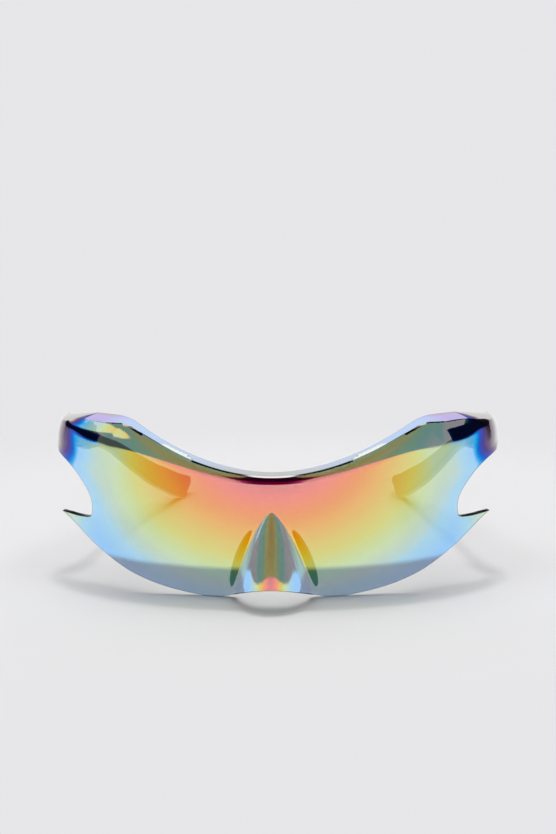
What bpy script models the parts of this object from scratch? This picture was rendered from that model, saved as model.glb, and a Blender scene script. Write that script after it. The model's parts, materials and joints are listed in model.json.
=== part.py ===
"""One-piece mirrored racer sunglasses, standing open on the shield's lower edge and the two temple tips.

The front faces -Y, the temples run back to +Y, and the wearer's left is +X. All lengths are in metres.
"""

from math import asin, cos, hypot, pi, radians, sin, sqrt

import bmesh
import bpy
from mathutils import Matrix, Vector
from mathutils.geometry import delaunay_2d_cdt

MM = 0.001

# Clearances
SEAT_GAP = 0.3 * MM
RUNNING_GAP = 0.06 * MM
BARREL_GAP = 0.08 * MM
WELD_DISTANCE = 0.0001

# Shield, seen from above: an ellipse round the face
HALF_WIDTH = 77.5 * MM
PLAN_DEPTH = 52.0 * MM
WALL = 2.0 * MM
WRAP_TURN = radians(105.0)

# Shield, seen from the side: one arc up the middle, a smaller one at the temples
MIDDLE_HEIGHT = 30.0 * MM
MIDDLE_RADIUS = 45.0 * MM
TEMPLE_HEIGHT = 48.0 * MM
TEMPLE_RADIUS = 16.0 * MM
TEMPLE_BLEND_TURNS = (radians(46.0), radians(88.0))
TEMPLE_BLEND_RISES = (26.0 * MM, 38.0 * MM)

# Rolled brow
BROW_LOW = 44.5 * MM
BROW_HIGH = 58.9 * MM
BROW_CORNER = 56.8 * MM
BROW_END = 52.4 * MM
BROW_RISE_TURNS = (0.0, radians(58.5))
BROW_FALL_TURNS = (radians(68.0), radians(89.0))
BROW_END_TURNS = (radians(88.0), radians(106.0))
ROLL_MIDDLE = 2.5 * MM
ROLL_SIDE = 14.0 * MM
ROLL_CORNER = 4.4 * MM
ROLL_SIDE_TURN = radians(50.0)
ROLL_SIDE_POWER = 2.0
ROLL_CORNER_TURNS = (radians(56.0), radians(86.0))
ROLL_END = radians(82.0)
SHELF_TILT = radians(68.0)
SHELF_RADIUS = 22.0 * MM
SHELF_CORNER = 3.0 * MM
SHELF_FADE_TURNS = (radians(68.0), radians(88.0))

# Nose beak
BEAK_TOP = 32.3 * MM
BEAK_CORNER_RISE = 1.2 * MM
BEAK_LIP_RISE = 8.3 * MM
BEAK_HALF_WIDTH = 15.2 * MM
BEAK_REACH = 11.5 * MM
BEAK_WIDTH_POWER = 0.665
BEAK_CURVE = radians(62.0)

# Fin below each notch, bent out straight from the ellipse
FIN_TURN = radians(52.0)
FIN_LENGTH = 15.0 * MM
FIN_FLARE = 2.0 * MM
FIN_BLEND_RISES = (29.0 * MM, 36.0 * MM)

# Outline of half the shield: shares of a quarter turn, and of the brow's height
LAND_SHARES = ((0.165, 0.0), (0.225, 0.0))
LOWER_EDGE_SHARES = (
    (0.272, 0.0153), (0.333, 0.0371), (0.40, 0.0708), (0.47, 0.1198),
    (0.514, 0.1618), (0.553, 0.2057), (0.593, 0.2513), (0.624, 0.294),
    (0.6475, 0.3334), (0.672, 0.3729), (0.70, 0.4143), (0.728, 0.4528),
)
FIN_TOP_SHARES = ((0.705, 0.4494), (0.672, 0.4415), (0.642, 0.439), (0.616, 0.4415))
NOTCH_SHARES = (
    (0.602, 0.4528), (0.597, 0.4785), (0.5965, 0.5179), (0.604, 0.5574), (0.624, 0.6008),
    (0.658, 0.6462), (0.697, 0.6866), (0.742, 0.7172), (0.800, 0.7419), (0.876, 0.7537),
    (0.970, 0.7419), (1.045, 0.7221), (1.095, 0.7083),
)
END_CAP_SHARE = 1.14
END_CAP_POWER = 0.6

# Net of points that the shield is draped from
NET_TURN_STEP = radians(4.0)
NET_ROWS = 13
ROLL_ROWS = 8
BEAK_COLUMNS = 6
BEAK_ROWS = 15
BEAK_ROW_POWER = 1.6
BEAK_CLEARANCE = 0.3 * MM
EDGE_STEPS = 3
END_CAP_STEPS = 8
NET_SCALE = 62.0 * MM
NET_CLEARANCE = 1.3 * MM
CREASE_CLEARANCE = 0.9 * MM

# Hinges and temples, in the hinge's own axes: X outward, Y back along the temple, Z along the screw
HINGE_TURN = radians(104.0)
HINGE_RISE = 46.4 * MM
TOE_IN = radians(13.5)
PITCH = radians(16.0)
BARREL_RADIUS = 1.5 * MM
BARREL_HEIGHT = 2.6 * MM
SCREW_RADIUS = 0.7 * MM
SCREW_HEAD_RADIUS = 1.25 * MM
SCREW_HEAD_HEIGHT = 0.6 * MM
SLOT_WIDTH = 0.35 * MM
SLOT_DEPTH = 0.3 * MM
LEAF_THICKNESS = 0.9 * MM
LEAF_LENGTH = 8.4 * MM
LEAF_SCREW_RADIUS = 0.55 * MM
LEAF_SCREW_HEAD_RADIUS = 0.95 * MM
LEAF_SCREW_HEAD_HEIGHT = 0.4 * MM
LEAF_SCREW_DEPTH = 2.0 * MM
LEAF_SCREW_SHARES = (0.42, 0.76)
BUTT_GAP = 0.3 * MM
BLOCK_LENGTH = 11.5 * MM
BLOCK_HEIGHT = 6.4 * MM
BLOCK_LIFT = -0.7 * MM
BLOCK_STEPS = 6
BLOCK_BEVEL = 0.35 * MM
SKIN_TRIES = 12
ARM_THICKNESS = 3.4 * MM
ARM_LENGTH = 124.0 * MM
ARM_LINE_SHARES = (
    (0.0, 0.0), (0.08, -0.006), (0.19, -0.0072), (0.29, -0.0122), (0.40, -0.0275),
    (0.505, -0.0415), (0.657, -0.058), (0.757, -0.0625), (0.876, -0.068), (1.0, -0.064),
)
ARM_HEIGHT_SHARES = (
    (0.0, 0.0726), (0.04, 0.0726), (0.075, 0.066), (0.11, 0.043), (0.15, 0.034), (0.21, 0.033),
    (0.29, 0.038), (0.40, 0.047), (0.505, 0.055), (0.657, 0.0665), (0.80, 0.074), (1.0, 0.077),
)
ARM_TUCK = 2.0 * MM
ARM_TAIL_LENGTH = 3.6 * MM
ARM_TAIL_SLANT = 5.5 * MM
ARM_SLANT_SHARE = 0.84
ARM_BEVEL = 0.7 * MM
ARM_TAIL_TURN = radians(78.0)
ARM_TAIL_THIN = 0.5
ARM_TAIL_POWER = 0.7
ARM_STEPS = 20
ARM_TAIL_STEPS = 7
ARM_CORNER_STEPS = 2
REST_CUT = 0.35 * MM

# Nose pads, one on each side of the beak
PAD_LOW = 2.4 * MM
PAD_HIGH = 25.4 * MM
PAD_OFFSET = 2.9 * MM
PAD_HALF_DEPTH = 3.8 * MM
PAD_HALF_THICKNESS = 1.3 * MM
PAD_SPLAY = radians(11.0)
PAD_FOOT_TURN = radians(120.0)
PAD_SWELL_POWER = 0.8
PAD_RINGS = 9
PAD_POINTS = 10

ROUND_STEPS = 24
SHARP_ANGLE = radians(35.0)
SIDES = (("left", 1.0), ("right", -1.0))


# Small shared tools

def clear_scene():
    for thing in list(bpy.data.objects):
        bpy.data.objects.remove(thing, do_unlink=True)


def ease(value, start, end):
    share = min(max((value - start) / (end - start), 0.0), 1.0)
    return share * share * (3.0 - 2.0 * share)


def mix(first, second, share):
    return first + (second - first) * share


def smooth_through(points, steps):
    """A smooth line through every point, with steps pieces between neighbours."""
    line = []
    for index in range(len(points) - 1):
        before = points[max(index - 1, 0)]
        start = points[index]
        end = points[index + 1]
        after = points[min(index + 2, len(points) - 1)]
        for step in range(steps):
            share = step / steps
            line.append(tuple(
                0.5 * (2.0 * b + (c - a) * share + (2.0 * a - 5.0 * b + 4.0 * c - d) * share ** 2
                       + (3.0 * b - a - 3.0 * c + d) * share ** 3)
                for a, b, c, d in zip(before, start, end, after)))
    line.append(tuple(points[-1]))
    return line


ARM_LINE = smooth_through(ARM_LINE_SHARES, EDGE_STEPS)
ARM_HEIGHTS = smooth_through(ARM_HEIGHT_SHARES, EDGE_STEPS)


def make_collection(name):
    collection = bpy.data.collections.new(name)
    bpy.context.scene.collection.children.link(collection)
    return collection


def make_material(name, colour, roughness, metallic=0.0, alpha=1.0):
    material = bpy.data.materials.new(name)
    material.use_nodes = True
    shader = material.node_tree.nodes["Principled BSDF"]
    shader.inputs["Base Color"].default_value = (*colour, 1.0)
    shader.inputs["Roughness"].default_value = roughness
    shader.inputs["Metallic"].default_value = metallic
    shader.inputs["Alpha"].default_value = alpha
    material.diffuse_color = (*colour, alpha)
    return material


def make_object(name, mesh, collection, material=None, parent=None):
    thing = bpy.data.objects.new(name, mesh)
    collection.objects.link(thing)
    if material is not None:
        mesh.materials.append(material)
    thing.parent = parent
    return thing


def face_outward(form):
    """Turns every face of a closed body outward."""
    bmesh.ops.recalc_face_normals(form, faces=form.faces)
    if form.calc_volume(signed=True) < 0.0:
        bmesh.ops.reverse_faces(form, faces=form.faces)


def mesh_from(name, points, faces, closed=True):
    mesh = bpy.data.meshes.new(name)
    mesh.from_pydata([tuple(point) for point in points], [], faces)
    if closed:
        form = bmesh.new()
        form.from_mesh(mesh)
        bmesh.ops.triangulate(form, faces=form.faces)
        face_outward(form)
        form.to_mesh(mesh)
        form.free()
    mesh.shade_smooth()
    mesh.set_sharp_from_angle(angle=SHARP_ANGLE)
    return mesh


def loft(name, rings):
    """A closed body through rings of the same number of points, capped at both ends."""
    count = len(rings[0])
    points = [point for ring in rings for point in ring]
    faces = []
    for row in range(len(rings) - 1):
        for column in range(count):
            across = (column + 1) % count
            faces.append((row * count + column, row * count + across,
                          (row + 1) * count + across, (row + 1) * count + column))
    faces.append(tuple(range(count)))
    faces.append(tuple((len(rings) - 1) * count + column for column in range(count)))
    return mesh_from(name, points, faces)


# The shield's form

def plan_point(turn):
    return Vector((HALF_WIDTH * sin(turn), -PLAN_DEPTH * cos(turn), 0.0))


def plan_outward(turn):
    return Vector((PLAN_DEPTH * sin(turn), -HALF_WIDTH * cos(turn), 0.0)).normalized()


def roll_radius(turn):
    share = min(abs(turn) / ROLL_SIDE_TURN, 1.0)
    side = mix(ROLL_MIDDLE, ROLL_SIDE, share ** ROLL_SIDE_POWER)
    return mix(side, ROLL_CORNER, ease(turn, *ROLL_CORNER_TURNS))


def shelf_radius(turn):
    """Radius of the shelf that the roll runs out into at its top."""
    return mix(SHELF_RADIUS, SHELF_CORNER, ease(turn, *SHELF_FADE_TURNS))


def brow_rise(turn):
    """Height of the brow's crest."""
    rise = mix(BROW_LOW, BROW_HIGH, ease(turn, *BROW_RISE_TURNS))
    rise = mix(rise, BROW_CORNER, ease(turn, *BROW_FALL_TURNS))
    return mix(rise, BROW_END, ease(turn, *BROW_END_TURNS))


def upright_arc(turn, rise):
    """Centre height and radius of the shield's upright curve."""
    share = ease(turn, *TEMPLE_BLEND_TURNS) * ease(rise, *TEMPLE_BLEND_RISES)
    return mix(MIDDLE_HEIGHT, TEMPLE_HEIGHT, share), mix(MIDDLE_RADIUS, TEMPLE_RADIUS, share)


def roll_start(turn):
    """Height where the brow's roll begins, and the surface's tilt there."""
    crest = brow_rise(turn)
    radius = roll_radius(turn)
    rolled = radius * sin(SHELF_TILT) + shelf_radius(turn) * (sin(ROLL_END) - sin(SHELF_TILT))
    centre, upright = upright_arc(turn, crest)
    share = (crest - centre - rolled) / (upright - radius)
    return centre + upright * share, asin(share)


def top_rise(turn):
    """The far edge of the roll, measured up the surface."""
    start, tilt = roll_start(turn)
    return start + roll_radius(turn) * (SHELF_TILT - tilt) + shelf_radius(turn) * (ROLL_END - SHELF_TILT)


def upright_profile(turn, rise, depth):
    """How far in from the plan ellipse a point lies, and its height."""
    start, start_tilt = roll_start(turn)
    if rise <= start:
        centre, radius = upright_arc(turn, rise)
        tilt = asin((rise - centre) / radius)
        inset = radius * (1.0 - cos(tilt))
        height = rise
    else:
        centre, upright = upright_arc(turn, start)
        radius = roll_radius(turn)
        tilt = start_tilt + (rise - start) / radius
        rolled = min(tilt, SHELF_TILT)
        inset = upright * (1.0 - cos(start_tilt)) + radius * (cos(start_tilt) - cos(rolled))
        height = start + radius * (sin(rolled) - sin(start_tilt))
        if tilt > SHELF_TILT:
            shelf = shelf_radius(turn)
            tilt = SHELF_TILT + (tilt - SHELF_TILT) * radius / shelf
            inset += shelf * (cos(SHELF_TILT) - cos(tilt))
            height += shelf * (sin(tilt) - sin(SHELF_TILT))
    return inset + depth * cos(tilt), height - depth * sin(tilt)


def fin_plan(turn):
    """Plan point and outward direction on the straight, flared fin."""
    outward = plan_outward(FIN_TURN)
    along = Vector((-outward.y, outward.x, 0.0))
    speed = hypot(HALF_WIDTH * cos(FIN_TURN), PLAN_DEPTH * sin(FIN_TURN))
    reach = speed * (turn - FIN_TURN)
    share = reach / FIN_LENGTH
    point = plan_point(FIN_TURN) + along * reach + outward * FIN_FLARE * share ** 2
    slope = 2.0 * FIN_FLARE * share / FIN_LENGTH
    return point, (outward - along * slope).normalized()


def beak_share(rise):
    return min(max((BEAK_TOP - rise) / (BEAK_TOP - BEAK_CORNER_RISE), 0.0), 1.2)


def beak_half_width(rise):
    return BEAK_HALF_WIDTH * beak_share(rise) ** BEAK_WIDTH_POWER


def beak_turn(half_width):
    return asin(half_width / HALF_WIDTH)


def beak_bulge(rise):
    """How far the beak's ridge stands out from the shield at this height."""
    inset, height = upright_profile(0.0, rise, 0.0)
    down = (BEAK_TOP - rise) / (BEAK_TOP - BEAK_LIP_RISE)
    return BEAK_REACH * sin(BEAK_CURVE * down) / sin(BEAK_CURVE) + inset


def shield_point(turn, rise, depth=0.0):
    """A point of the shield: turn round the face, rise up the surface, depth below the outer skin."""
    forward = 0.0
    half_width = beak_half_width(rise)
    if half_width > 0.0:
        edge = beak_turn(half_width)
        if turn < edge:
            across = turn / edge
            slim = half_width / (half_width + depth)
            forward = beak_bulge(rise) * slim * sqrt(max(1.0 - across ** 2, 0.0))
            turn = beak_turn(half_width * slim) * across
        else:
            slimmer = beak_turn(half_width * half_width / (half_width + depth))
            turn -= (edge - slimmer) * (1.0 - ease(turn, edge, edge + beak_turn(BEAK_HALF_WIDTH)))
    inset, height = upright_profile(turn, rise, depth)
    point = plan_point(turn)
    outward = plan_outward(turn)
    if turn > FIN_TURN:
        share = 1.0 - ease(rise, *FIN_BLEND_RISES)
        fin_point, fin_outward = fin_plan(turn)
        point = mix(point, fin_point, share)
        outward = mix(outward, fin_outward, share).normalized()
    place = point - outward * inset
    return Vector((place.x, place.y - forward, height))


# The shield's outline and net, as turn and rise

def from_shares(shares):
    return [(0.5 * pi * turn, BROW_HIGH * rise) for turn, rise in shares]


def beak_rows(low):
    """Rises from the beak's tip down to this one, closest together at the tip."""
    return [mix(BEAK_TOP, low, (step / BEAK_ROWS) ** BEAK_ROW_POWER) for step in range(BEAK_ROWS + 1)]


def beak_crease():
    """The line where the beak leaves the shield, from its foot to its tip."""
    line = [(beak_turn(beak_half_width(rise)), rise) for rise in beak_rows(BEAK_CORNER_RISE)]
    line.reverse()
    return line


def beak_lip(across):
    return mix(BEAK_CORNER_RISE, BEAK_LIP_RISE, sqrt(max(1.0 - across ** 2, 0.0)))


def beak_columns():
    return [sin(0.5 * pi * step / BEAK_COLUMNS) for step in range(BEAK_COLUMNS + 1)]


def beak_points(across):
    """A line down the beak at this share of its half width, from below its tip to its lip."""
    line = []
    for rise in beak_rows(beak_lip(across)):
        half_width = beak_half_width(rise)
        if half_width > BEAK_COLUMNS * BEAK_CLEARANCE:
            line.append((beak_turn(half_width) * across, rise))
    return line


def lip_line():
    """The beak's lower lip, from the middle to the crease's foot."""
    line = []
    for across in beak_columns()[:-1]:
        rise = beak_lip(across)
        line.append((beak_turn(beak_half_width(rise)) * across, rise))
    return line


def end_cap():
    """The rounded rear end of the side strip, from its lower edge to its top."""
    start = from_shares(NOTCH_SHARES)[-1]
    turn = 0.5 * pi * END_CAP_SHARE
    top = top_rise(start[0])
    middle = 0.5 * (start[1] + top)
    line = []
    for step in range(1, END_CAP_STEPS):
        angle = pi * (step / END_CAP_STEPS - 0.5)
        reach = cos(angle) ** END_CAP_POWER
        line.append((mix(start[0], turn, reach), middle + 0.5 * (top - start[1]) * sin(angle)))
    return line


def net_rises(turn):
    """Rise of each row of the net at this turn, with the brow's roll last."""
    start, tilt = roll_start(turn)
    top = top_rise(turn)
    body = [start * (row + 0.5) / NET_ROWS for row in range(NET_ROWS)]
    roll = [mix(start, top, row / ROLL_ROWS) for row in range(ROLL_ROWS + 1)]
    return body + roll


def net_turns():
    count = int(WRAP_TURN / NET_TURN_STEP) + 1
    return [NET_TURN_STEP * step for step in range(1, count)]


def half_outline():
    """Closed outline of the +X half, starting at the beak's lip and going out along the lower edge."""
    land = from_shares(LAND_SHARES)
    level = [(mix(land[0][0], land[1][0], step / EDGE_STEPS), 0.0) for step in range(EDGE_STEPS)]
    lower = [beak_crease()[0]] + level
    lower += smooth_through([land[1]] + from_shares(LOWER_EDGE_SHARES), EDGE_STEPS)
    fin_top = smooth_through(from_shares((LOWER_EDGE_SHARES[-1],) + FIN_TOP_SHARES), EDGE_STEPS)
    notch = smooth_through(from_shares((FIN_TOP_SHARES[-1],) + NOTCH_SHARES), EDGE_STEPS)
    line = lip_line() + lower + fin_top[1:] + notch[1:] + end_cap()
    last = from_shares(NOTCH_SHARES)[-1][0]
    turns = [last] + [turn for turn in reversed(net_turns()) if turn < last - 0.5 * NET_TURN_STEP] + [0.0]
    line += [(turn, top_rise(turn)) for turn in turns]
    middle = [(0.0, rise) for rise in reversed(net_rises(0.0)[:-1]) if rise > BEAK_TOP + CREASE_CLEARANCE]
    return line + middle + [(0.0, BEAK_TOP)] + beak_points(0.0)[:-1]


def to_net(point):
    return Vector((point[0] * NET_SCALE, point[1]))


def inside(point, outline):
    crossings = 0
    for start, end in zip(outline, outline[1:] + outline[:1]):
        if (start.y > point.y) != (end.y > point.y):
            across = start.x + (point.y - start.y) * (end.x - start.x) / (end.y - start.y)
            if across > point.x:
                crossings += 1
    return crossings % 2 == 1


def line_distance(point, line):
    nearest = HALF_WIDTH
    for start, end in zip(line, line[1:]):
        along = end - start
        share = 0.0
        if along.length_squared > 0.0:
            share = min(max((point - start).dot(along) / along.length_squared, 0.0), 1.0)
        nearest = min(nearest, (point - start - along * share).length)
    return nearest


def inner_points(outline, crease):
    """Points of the net inside the outline, clear of its edge and of the crease."""
    points = []
    for turn in net_turns():
        for rise in net_rises(turn)[:-1]:
            place = to_net((turn, rise))
            if rise < BEAK_TOP and turn < beak_turn(beak_half_width(rise)):
                continue
            if not inside(place, outline):
                continue
            if line_distance(place, outline + outline[:1]) < NET_CLEARANCE:
                continue
            if line_distance(place, crease) < CREASE_CLEARANCE:
                continue
            points.append((turn, rise))
    for across in beak_columns()[1:-1]:
        points += beak_points(across)[:-1]
    return points


def shield_mesh(name):
    """Outer and inner skin draped from one net, joined along the outline and open at the middle."""
    outline = half_outline()
    crease = beak_crease()[1:-1]
    inner = inner_points([to_net(point) for point in outline], [to_net(point) for point in beak_crease()])
    places = outline + crease + inner
    edge_count = len(outline)
    creased = [edge_count + step for step in range(len(crease))]
    foot = places.index(beak_crease()[0])
    tip = min(range(edge_count), key=lambda index: (to_net(places[index]) - to_net((0.0, BEAK_TOP))).length)
    chain = [foot] + creased + [tip]
    edges = list(zip(chain, chain[1:]))
    net = delaunay_2d_cdt([to_net(point) for point in places], edges,
                          [list(range(edge_count))], 1, 0.01 * WELD_DISTANCE)
    triangles = [tuple(net[3][corner][0] for corner in face) for face in net[2]]
    outer = [shield_point(turn, rise) for turn, rise in places]
    skin = [shield_point(turn, rise, WALL) for turn, rise in places]
    ground_land(places, skin)
    count = len(places)
    faces = [face for face in triangles]
    faces += [tuple(count + corner for corner in reversed(face)) for face in triangles]
    for index in range(edge_count):
        across = (index + 1) % edge_count
        on_middle = places[index][0] == 0.0 and places[across][0] == 0.0
        if not on_middle:
            faces.append((index, count + index, count + across))
            faces.append((index, count + across, across))
    for point in outer + skin:
        if abs(point.x) < WELD_DISTANCE:
            point.x = 0.0
    return mesh_from(name, outer + skin, faces, False)


def ground_land(places, skin):
    """The short level lands that the shield stands on."""
    land = from_shares(LAND_SHARES)
    for index, (turn, rise) in enumerate(places):
        if rise == 0.0 and land[0][0] <= turn <= land[1][0]:
            skin[index].z = 0.0


# Cutters and Boolean steps

def cylinder_mesh(name, radius, low, high):
    """An upright cylinder from low to high along Z."""
    form = bmesh.new()
    bmesh.ops.create_cone(form, cap_ends=True, segments=ROUND_STEPS, radius1=radius, radius2=radius,
                          depth=high - low)
    bmesh.ops.translate(form, verts=form.verts, vec=(0.0, 0.0, 0.5 * (low + high)))
    mesh = bpy.data.meshes.new(name)
    form.to_mesh(mesh)
    form.free()
    return mesh


def box_mesh(name, low, high):
    form = bmesh.new()
    bmesh.ops.create_cube(form, size=1.0)
    size = Vector(high) - Vector(low)
    bmesh.ops.scale(form, verts=form.verts, vec=size)
    bmesh.ops.translate(form, verts=form.verts, vec=(Vector(low) + Vector(high)) * 0.5)
    mesh = bpy.data.meshes.new(name)
    form.to_mesh(mesh)
    form.free()
    return mesh


def add_boolean(thing, operation, cutter):
    step = thing.modifiers.new(operation.title(), "BOOLEAN")
    step.operation = operation
    step.solver = "EXACT"
    step.object = cutter
    cutter.hide_render = True
    cutter.display_type = "WIRE"


def add_bevel(thing, width, segments=2):
    step = thing.modifiers.new("Bevel", "BEVEL")
    step.width = width
    step.segments = segments
    step.limit_method = "ANGLE"
    step.angle_limit = SHARP_ANGLE


def turned(name, profile, collection, material, parent):
    """A turned piece: profile points of radius and height, from the top down."""
    points = [(radius, 0.0, height) for radius, height in profile]
    edges = [(index, index + 1) for index in range(len(points) - 1)]
    mesh = bpy.data.meshes.new(name)
    mesh.from_pydata(points, edges, [])
    thing = make_object(name, mesh, collection, material, parent)
    spin = thing.modifiers.new("Screw", "SCREW")
    spin.axis = "Z"
    spin.steps = ROUND_STEPS
    spin.render_steps = ROUND_STEPS
    spin.use_merge_vertices = True
    spin.merge_threshold = 0.01 * WELD_DISTANCE
    spin.use_smooth_shade = True
    return thing


# Hinge axes

def inner_skin(turn, rise):
    return shield_point(turn, rise, WALL + SEAT_GAP)


def plate_face():
    """Outer face of both leaves, in the hinge's own axes."""
    return BARREL_RADIUS


def seat_face():
    """Inner face of the end block and of the temple's front."""
    return plate_face() + SEAT_GAP


def hinge_place():
    """Where the left hinge's axis stands."""
    outward = Vector((cos(TOE_IN), sin(TOE_IN), 0.0))
    point = inner_skin(HINGE_TURN, HINGE_RISE)
    return point - outward * (seat_face() + ARM_THICKNESS + SEAT_GAP)


def hinge_turn(side):
    return Matrix.Rotation(side * TOE_IN, 4, "Z") @ Matrix.Rotation(-PITCH, 4, "X")


def add_origin(collection):
    """The origin: on the floor, halfway between the beak's front and the temples' ends."""
    front = min(shield_point(turn, rise).y for turn, rise in beak_points(0.0))
    fold = Matrix.Translation(hinge_place()) @ hinge_turn(1.0)
    tail = max((fold @ corner).y for station in arm_stations() for corner in arm_section(*station))
    origin = bpy.data.objects.new("origin", None)
    collection.objects.link(origin)
    origin.location = (0.0, -0.5 * (front + tail), 0.0)
    return origin


def add_hinge_axis(side_name, side, collection, origin):
    place = hinge_place()
    axis = bpy.data.objects.new(side_name + "_hinge_axis", None)
    collection.objects.link(axis)
    axis.parent = origin
    axis.empty_display_size = BARREL_RADIUS
    axis.location = (side * place.x, place.y, place.z)
    axis.rotation_euler = (-PITCH, 0.0, side * TOE_IN)
    return axis


def to_hinge():
    """Takes a world point on the left side into the left hinge's own axes."""
    return (Matrix.Translation(hinge_place()) @ hinge_turn(1.0)).inverted()


def sided(points, side):
    return [Vector((side * point[0], point[1], point[2])) for point in points]


# Hinge pieces

def leaf_screw_spots(back):
    """Distances of the two leaf screws from the axis, negative in front."""
    return [back * share * LEAF_LENGTH for share in LEAF_SCREW_SHARES]


def barrel_levels():
    """Low and high ends of the three barrels, from the bottom up."""
    step = BARREL_HEIGHT + BARREL_GAP
    low = -1.5 * BARREL_HEIGHT - BARREL_GAP
    return [(low + step * level, low + step * level + BARREL_HEIGHT) for level in range(3)]


def drill_across(name, spots, radius, reach, side, cutters, parent):
    """Cylinders lying along X through the leaf, the block or the temple."""
    holes = []
    for number, spot in enumerate(spots, 1):
        mesh = cylinder_mesh(name, radius, plate_face() - 2.0 * LEAF_THICKNESS, plate_face() + reach)
        mesh.transform(Matrix.Translation((0.0, spot, 0.0)) @ Matrix.Rotation(side * 0.5 * pi, 4, "Y"))
        holes.append(make_object(name + "_" + str(number), mesh, cutters, None, parent))
    return holes


def make_leaf(name, levels, back, side, parts, cutters, material, parent):
    """One leaf: a flat plate with its barrels and the tabs that carry them."""
    stack = barrel_levels()
    low = stack[0][0]
    high = stack[2][1]
    inner = plate_face() - LEAF_THICKNESS
    root = back * (BARREL_RADIUS + SEAT_GAP)
    ends = sorted((root, back * LEAF_LENGTH))
    corners = sided([(inner, ends[0], low), (plate_face(), ends[1], high)], side)
    lows = [min(pair) for pair in zip(*corners)]
    highs = [max(pair) for pair in zip(*corners)]
    leaf = make_object(name, box_mesh(name, lows, highs), parts, material, parent)
    for number, level in enumerate(levels, 1):
        bottom, top = stack[level]
        tab_ends = sorted((0.0, root + back * LEAF_THICKNESS))
        corners = sided([(inner, tab_ends[0], bottom), (plate_face(), tab_ends[1], top)], side)
        lows = [min(pair) for pair in zip(*corners)]
        highs = [max(pair) for pair in zip(*corners)]
        tab = make_object(name + "_tab_" + str(number), box_mesh(name, lows, highs), cutters, None, parent)
        add_boolean(leaf, "UNION", tab)
        barrel = cylinder_mesh(name, BARREL_RADIUS, bottom, top)
        roll = make_object(name + "_barrel_" + str(number), barrel, cutters, None, parent)
        add_boolean(leaf, "UNION", roll)
    bore = cylinder_mesh(name, SCREW_RADIUS + RUNNING_GAP, low - BARREL_HEIGHT, high + BARREL_HEIGHT)
    add_boolean(leaf, "DIFFERENCE", make_object(name + "_bore", bore, cutters, None, parent))
    spots = leaf_screw_spots(back)
    radius = LEAF_SCREW_RADIUS + RUNNING_GAP
    for hole in drill_across(name + "_hole", spots, radius, LEAF_THICKNESS, side, cutters, parent):
        add_boolean(leaf, "DIFFERENCE", hole)
    return leaf


def make_hinge_screw(name, parts, material, cutters, parent):
    """Cheese head with a slot, and a shank through all three barrels."""
    top = barrel_levels()[2][1] + RUNNING_GAP
    bottom = barrel_levels()[0][0] - SEAT_GAP
    profile = [(0.0, top + SCREW_HEAD_HEIGHT), (SCREW_HEAD_RADIUS, top + SCREW_HEAD_HEIGHT),
               (SCREW_HEAD_RADIUS, top), (SCREW_RADIUS, top), (SCREW_RADIUS, bottom), (0.0, bottom)]
    screw = turned(name, profile, parts, material, parent)
    half = 0.5 * SLOT_WIDTH
    slot = box_mesh(name, (-2.0 * SCREW_HEAD_RADIUS, -half, top + SCREW_HEAD_HEIGHT - SLOT_DEPTH),
                    (2.0 * SCREW_HEAD_RADIUS, half, top + 2.0 * SCREW_HEAD_HEIGHT))
    add_boolean(screw, "DIFFERENCE", make_object(name + "_slot", slot, cutters, None, parent))
    return screw


def make_leaf_screws(name, back, side, parts, material, parent):
    """The two screws that hold a leaf to the end block or to the temple."""
    face = plate_face() - LEAF_THICKNESS - RUNNING_GAP
    tip = plate_face() + LEAF_SCREW_DEPTH - SEAT_GAP
    profile = [(0.0, -face + LEAF_SCREW_HEAD_HEIGHT),
               (LEAF_SCREW_HEAD_RADIUS, -face + LEAF_SCREW_HEAD_HEIGHT),
               (LEAF_SCREW_HEAD_RADIUS, -face), (LEAF_SCREW_RADIUS, -face),
               (LEAF_SCREW_RADIUS, -tip), (0.0, -tip)]
    for number, spot in enumerate(leaf_screw_spots(back), 1):
        screw = turned(name + "_" + str(number), profile, parts, material, parent)
        screw.location = (0.0, spot, 0.0)
        screw.rotation_euler = (0.0, -side * 0.5 * pi, 0.0)


def make_end_block(name, side, parts, cutters, material, parent):
    """Black block behind the shield's rear corner: curved to the shield outside, flat to the leaf inside."""
    into = to_hinge()
    rings = []
    for step in range(BLOCK_STEPS + 1):
        along = mix(-BLOCK_LENGTH, -BUTT_GAP, step / BLOCK_STEPS)
        ring = []
        for row in range(BLOCK_STEPS + 1):
            lift = BLOCK_LIFT + mix(-0.5 * BLOCK_HEIGHT, 0.5 * BLOCK_HEIGHT, row / BLOCK_STEPS)
            ring.append((skin_reach(into, along, lift), along, lift))
        ring.append((seat_face(), along, BLOCK_LIFT + 0.5 * BLOCK_HEIGHT))
        ring.append((seat_face(), along, BLOCK_LIFT - 0.5 * BLOCK_HEIGHT))
        rings.append(sided(ring, side))
    block = make_object(name, loft(name, rings), parts, material, parent)
    add_bevel(block, BLOCK_BEVEL)
    spots = leaf_screw_spots(-1.0)
    radius = LEAF_SCREW_RADIUS + RUNNING_GAP
    for hole in drill_across(name + "_hole", spots, radius, LEAF_SCREW_DEPTH, side, cutters, parent):
        add_boolean(block, "DIFFERENCE", hole)
    return block


def skin_reach(into, along, lift):
    """How far out the shield's inner skin lies, at a place in the hinge's own axes."""
    turn = HINGE_TURN
    rise = HINGE_RISE
    for attempt in range(SKIN_TRIES):
        point = into @ inner_skin(turn, rise)
        turn += (along - point.y) / PLAN_DEPTH
        rise += lift - point.z
    return (into @ inner_skin(turn, rise)).x


def curve_at(curve, share):
    """Value of a curve given as points, at this share of its length."""
    for start, end in zip(curve, curve[1:]):
        if share <= end[0]:
            return mix(start[1], end[1], (share - start[0]) / (end[0] - start[0]))
    return curve[-1][1]


def arm_line(along):
    """Height of the temple's middle line, before its tip is brought to the floor."""
    return ARM_LENGTH * curve_at(ARM_LINE, along / ARM_LENGTH)


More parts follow.
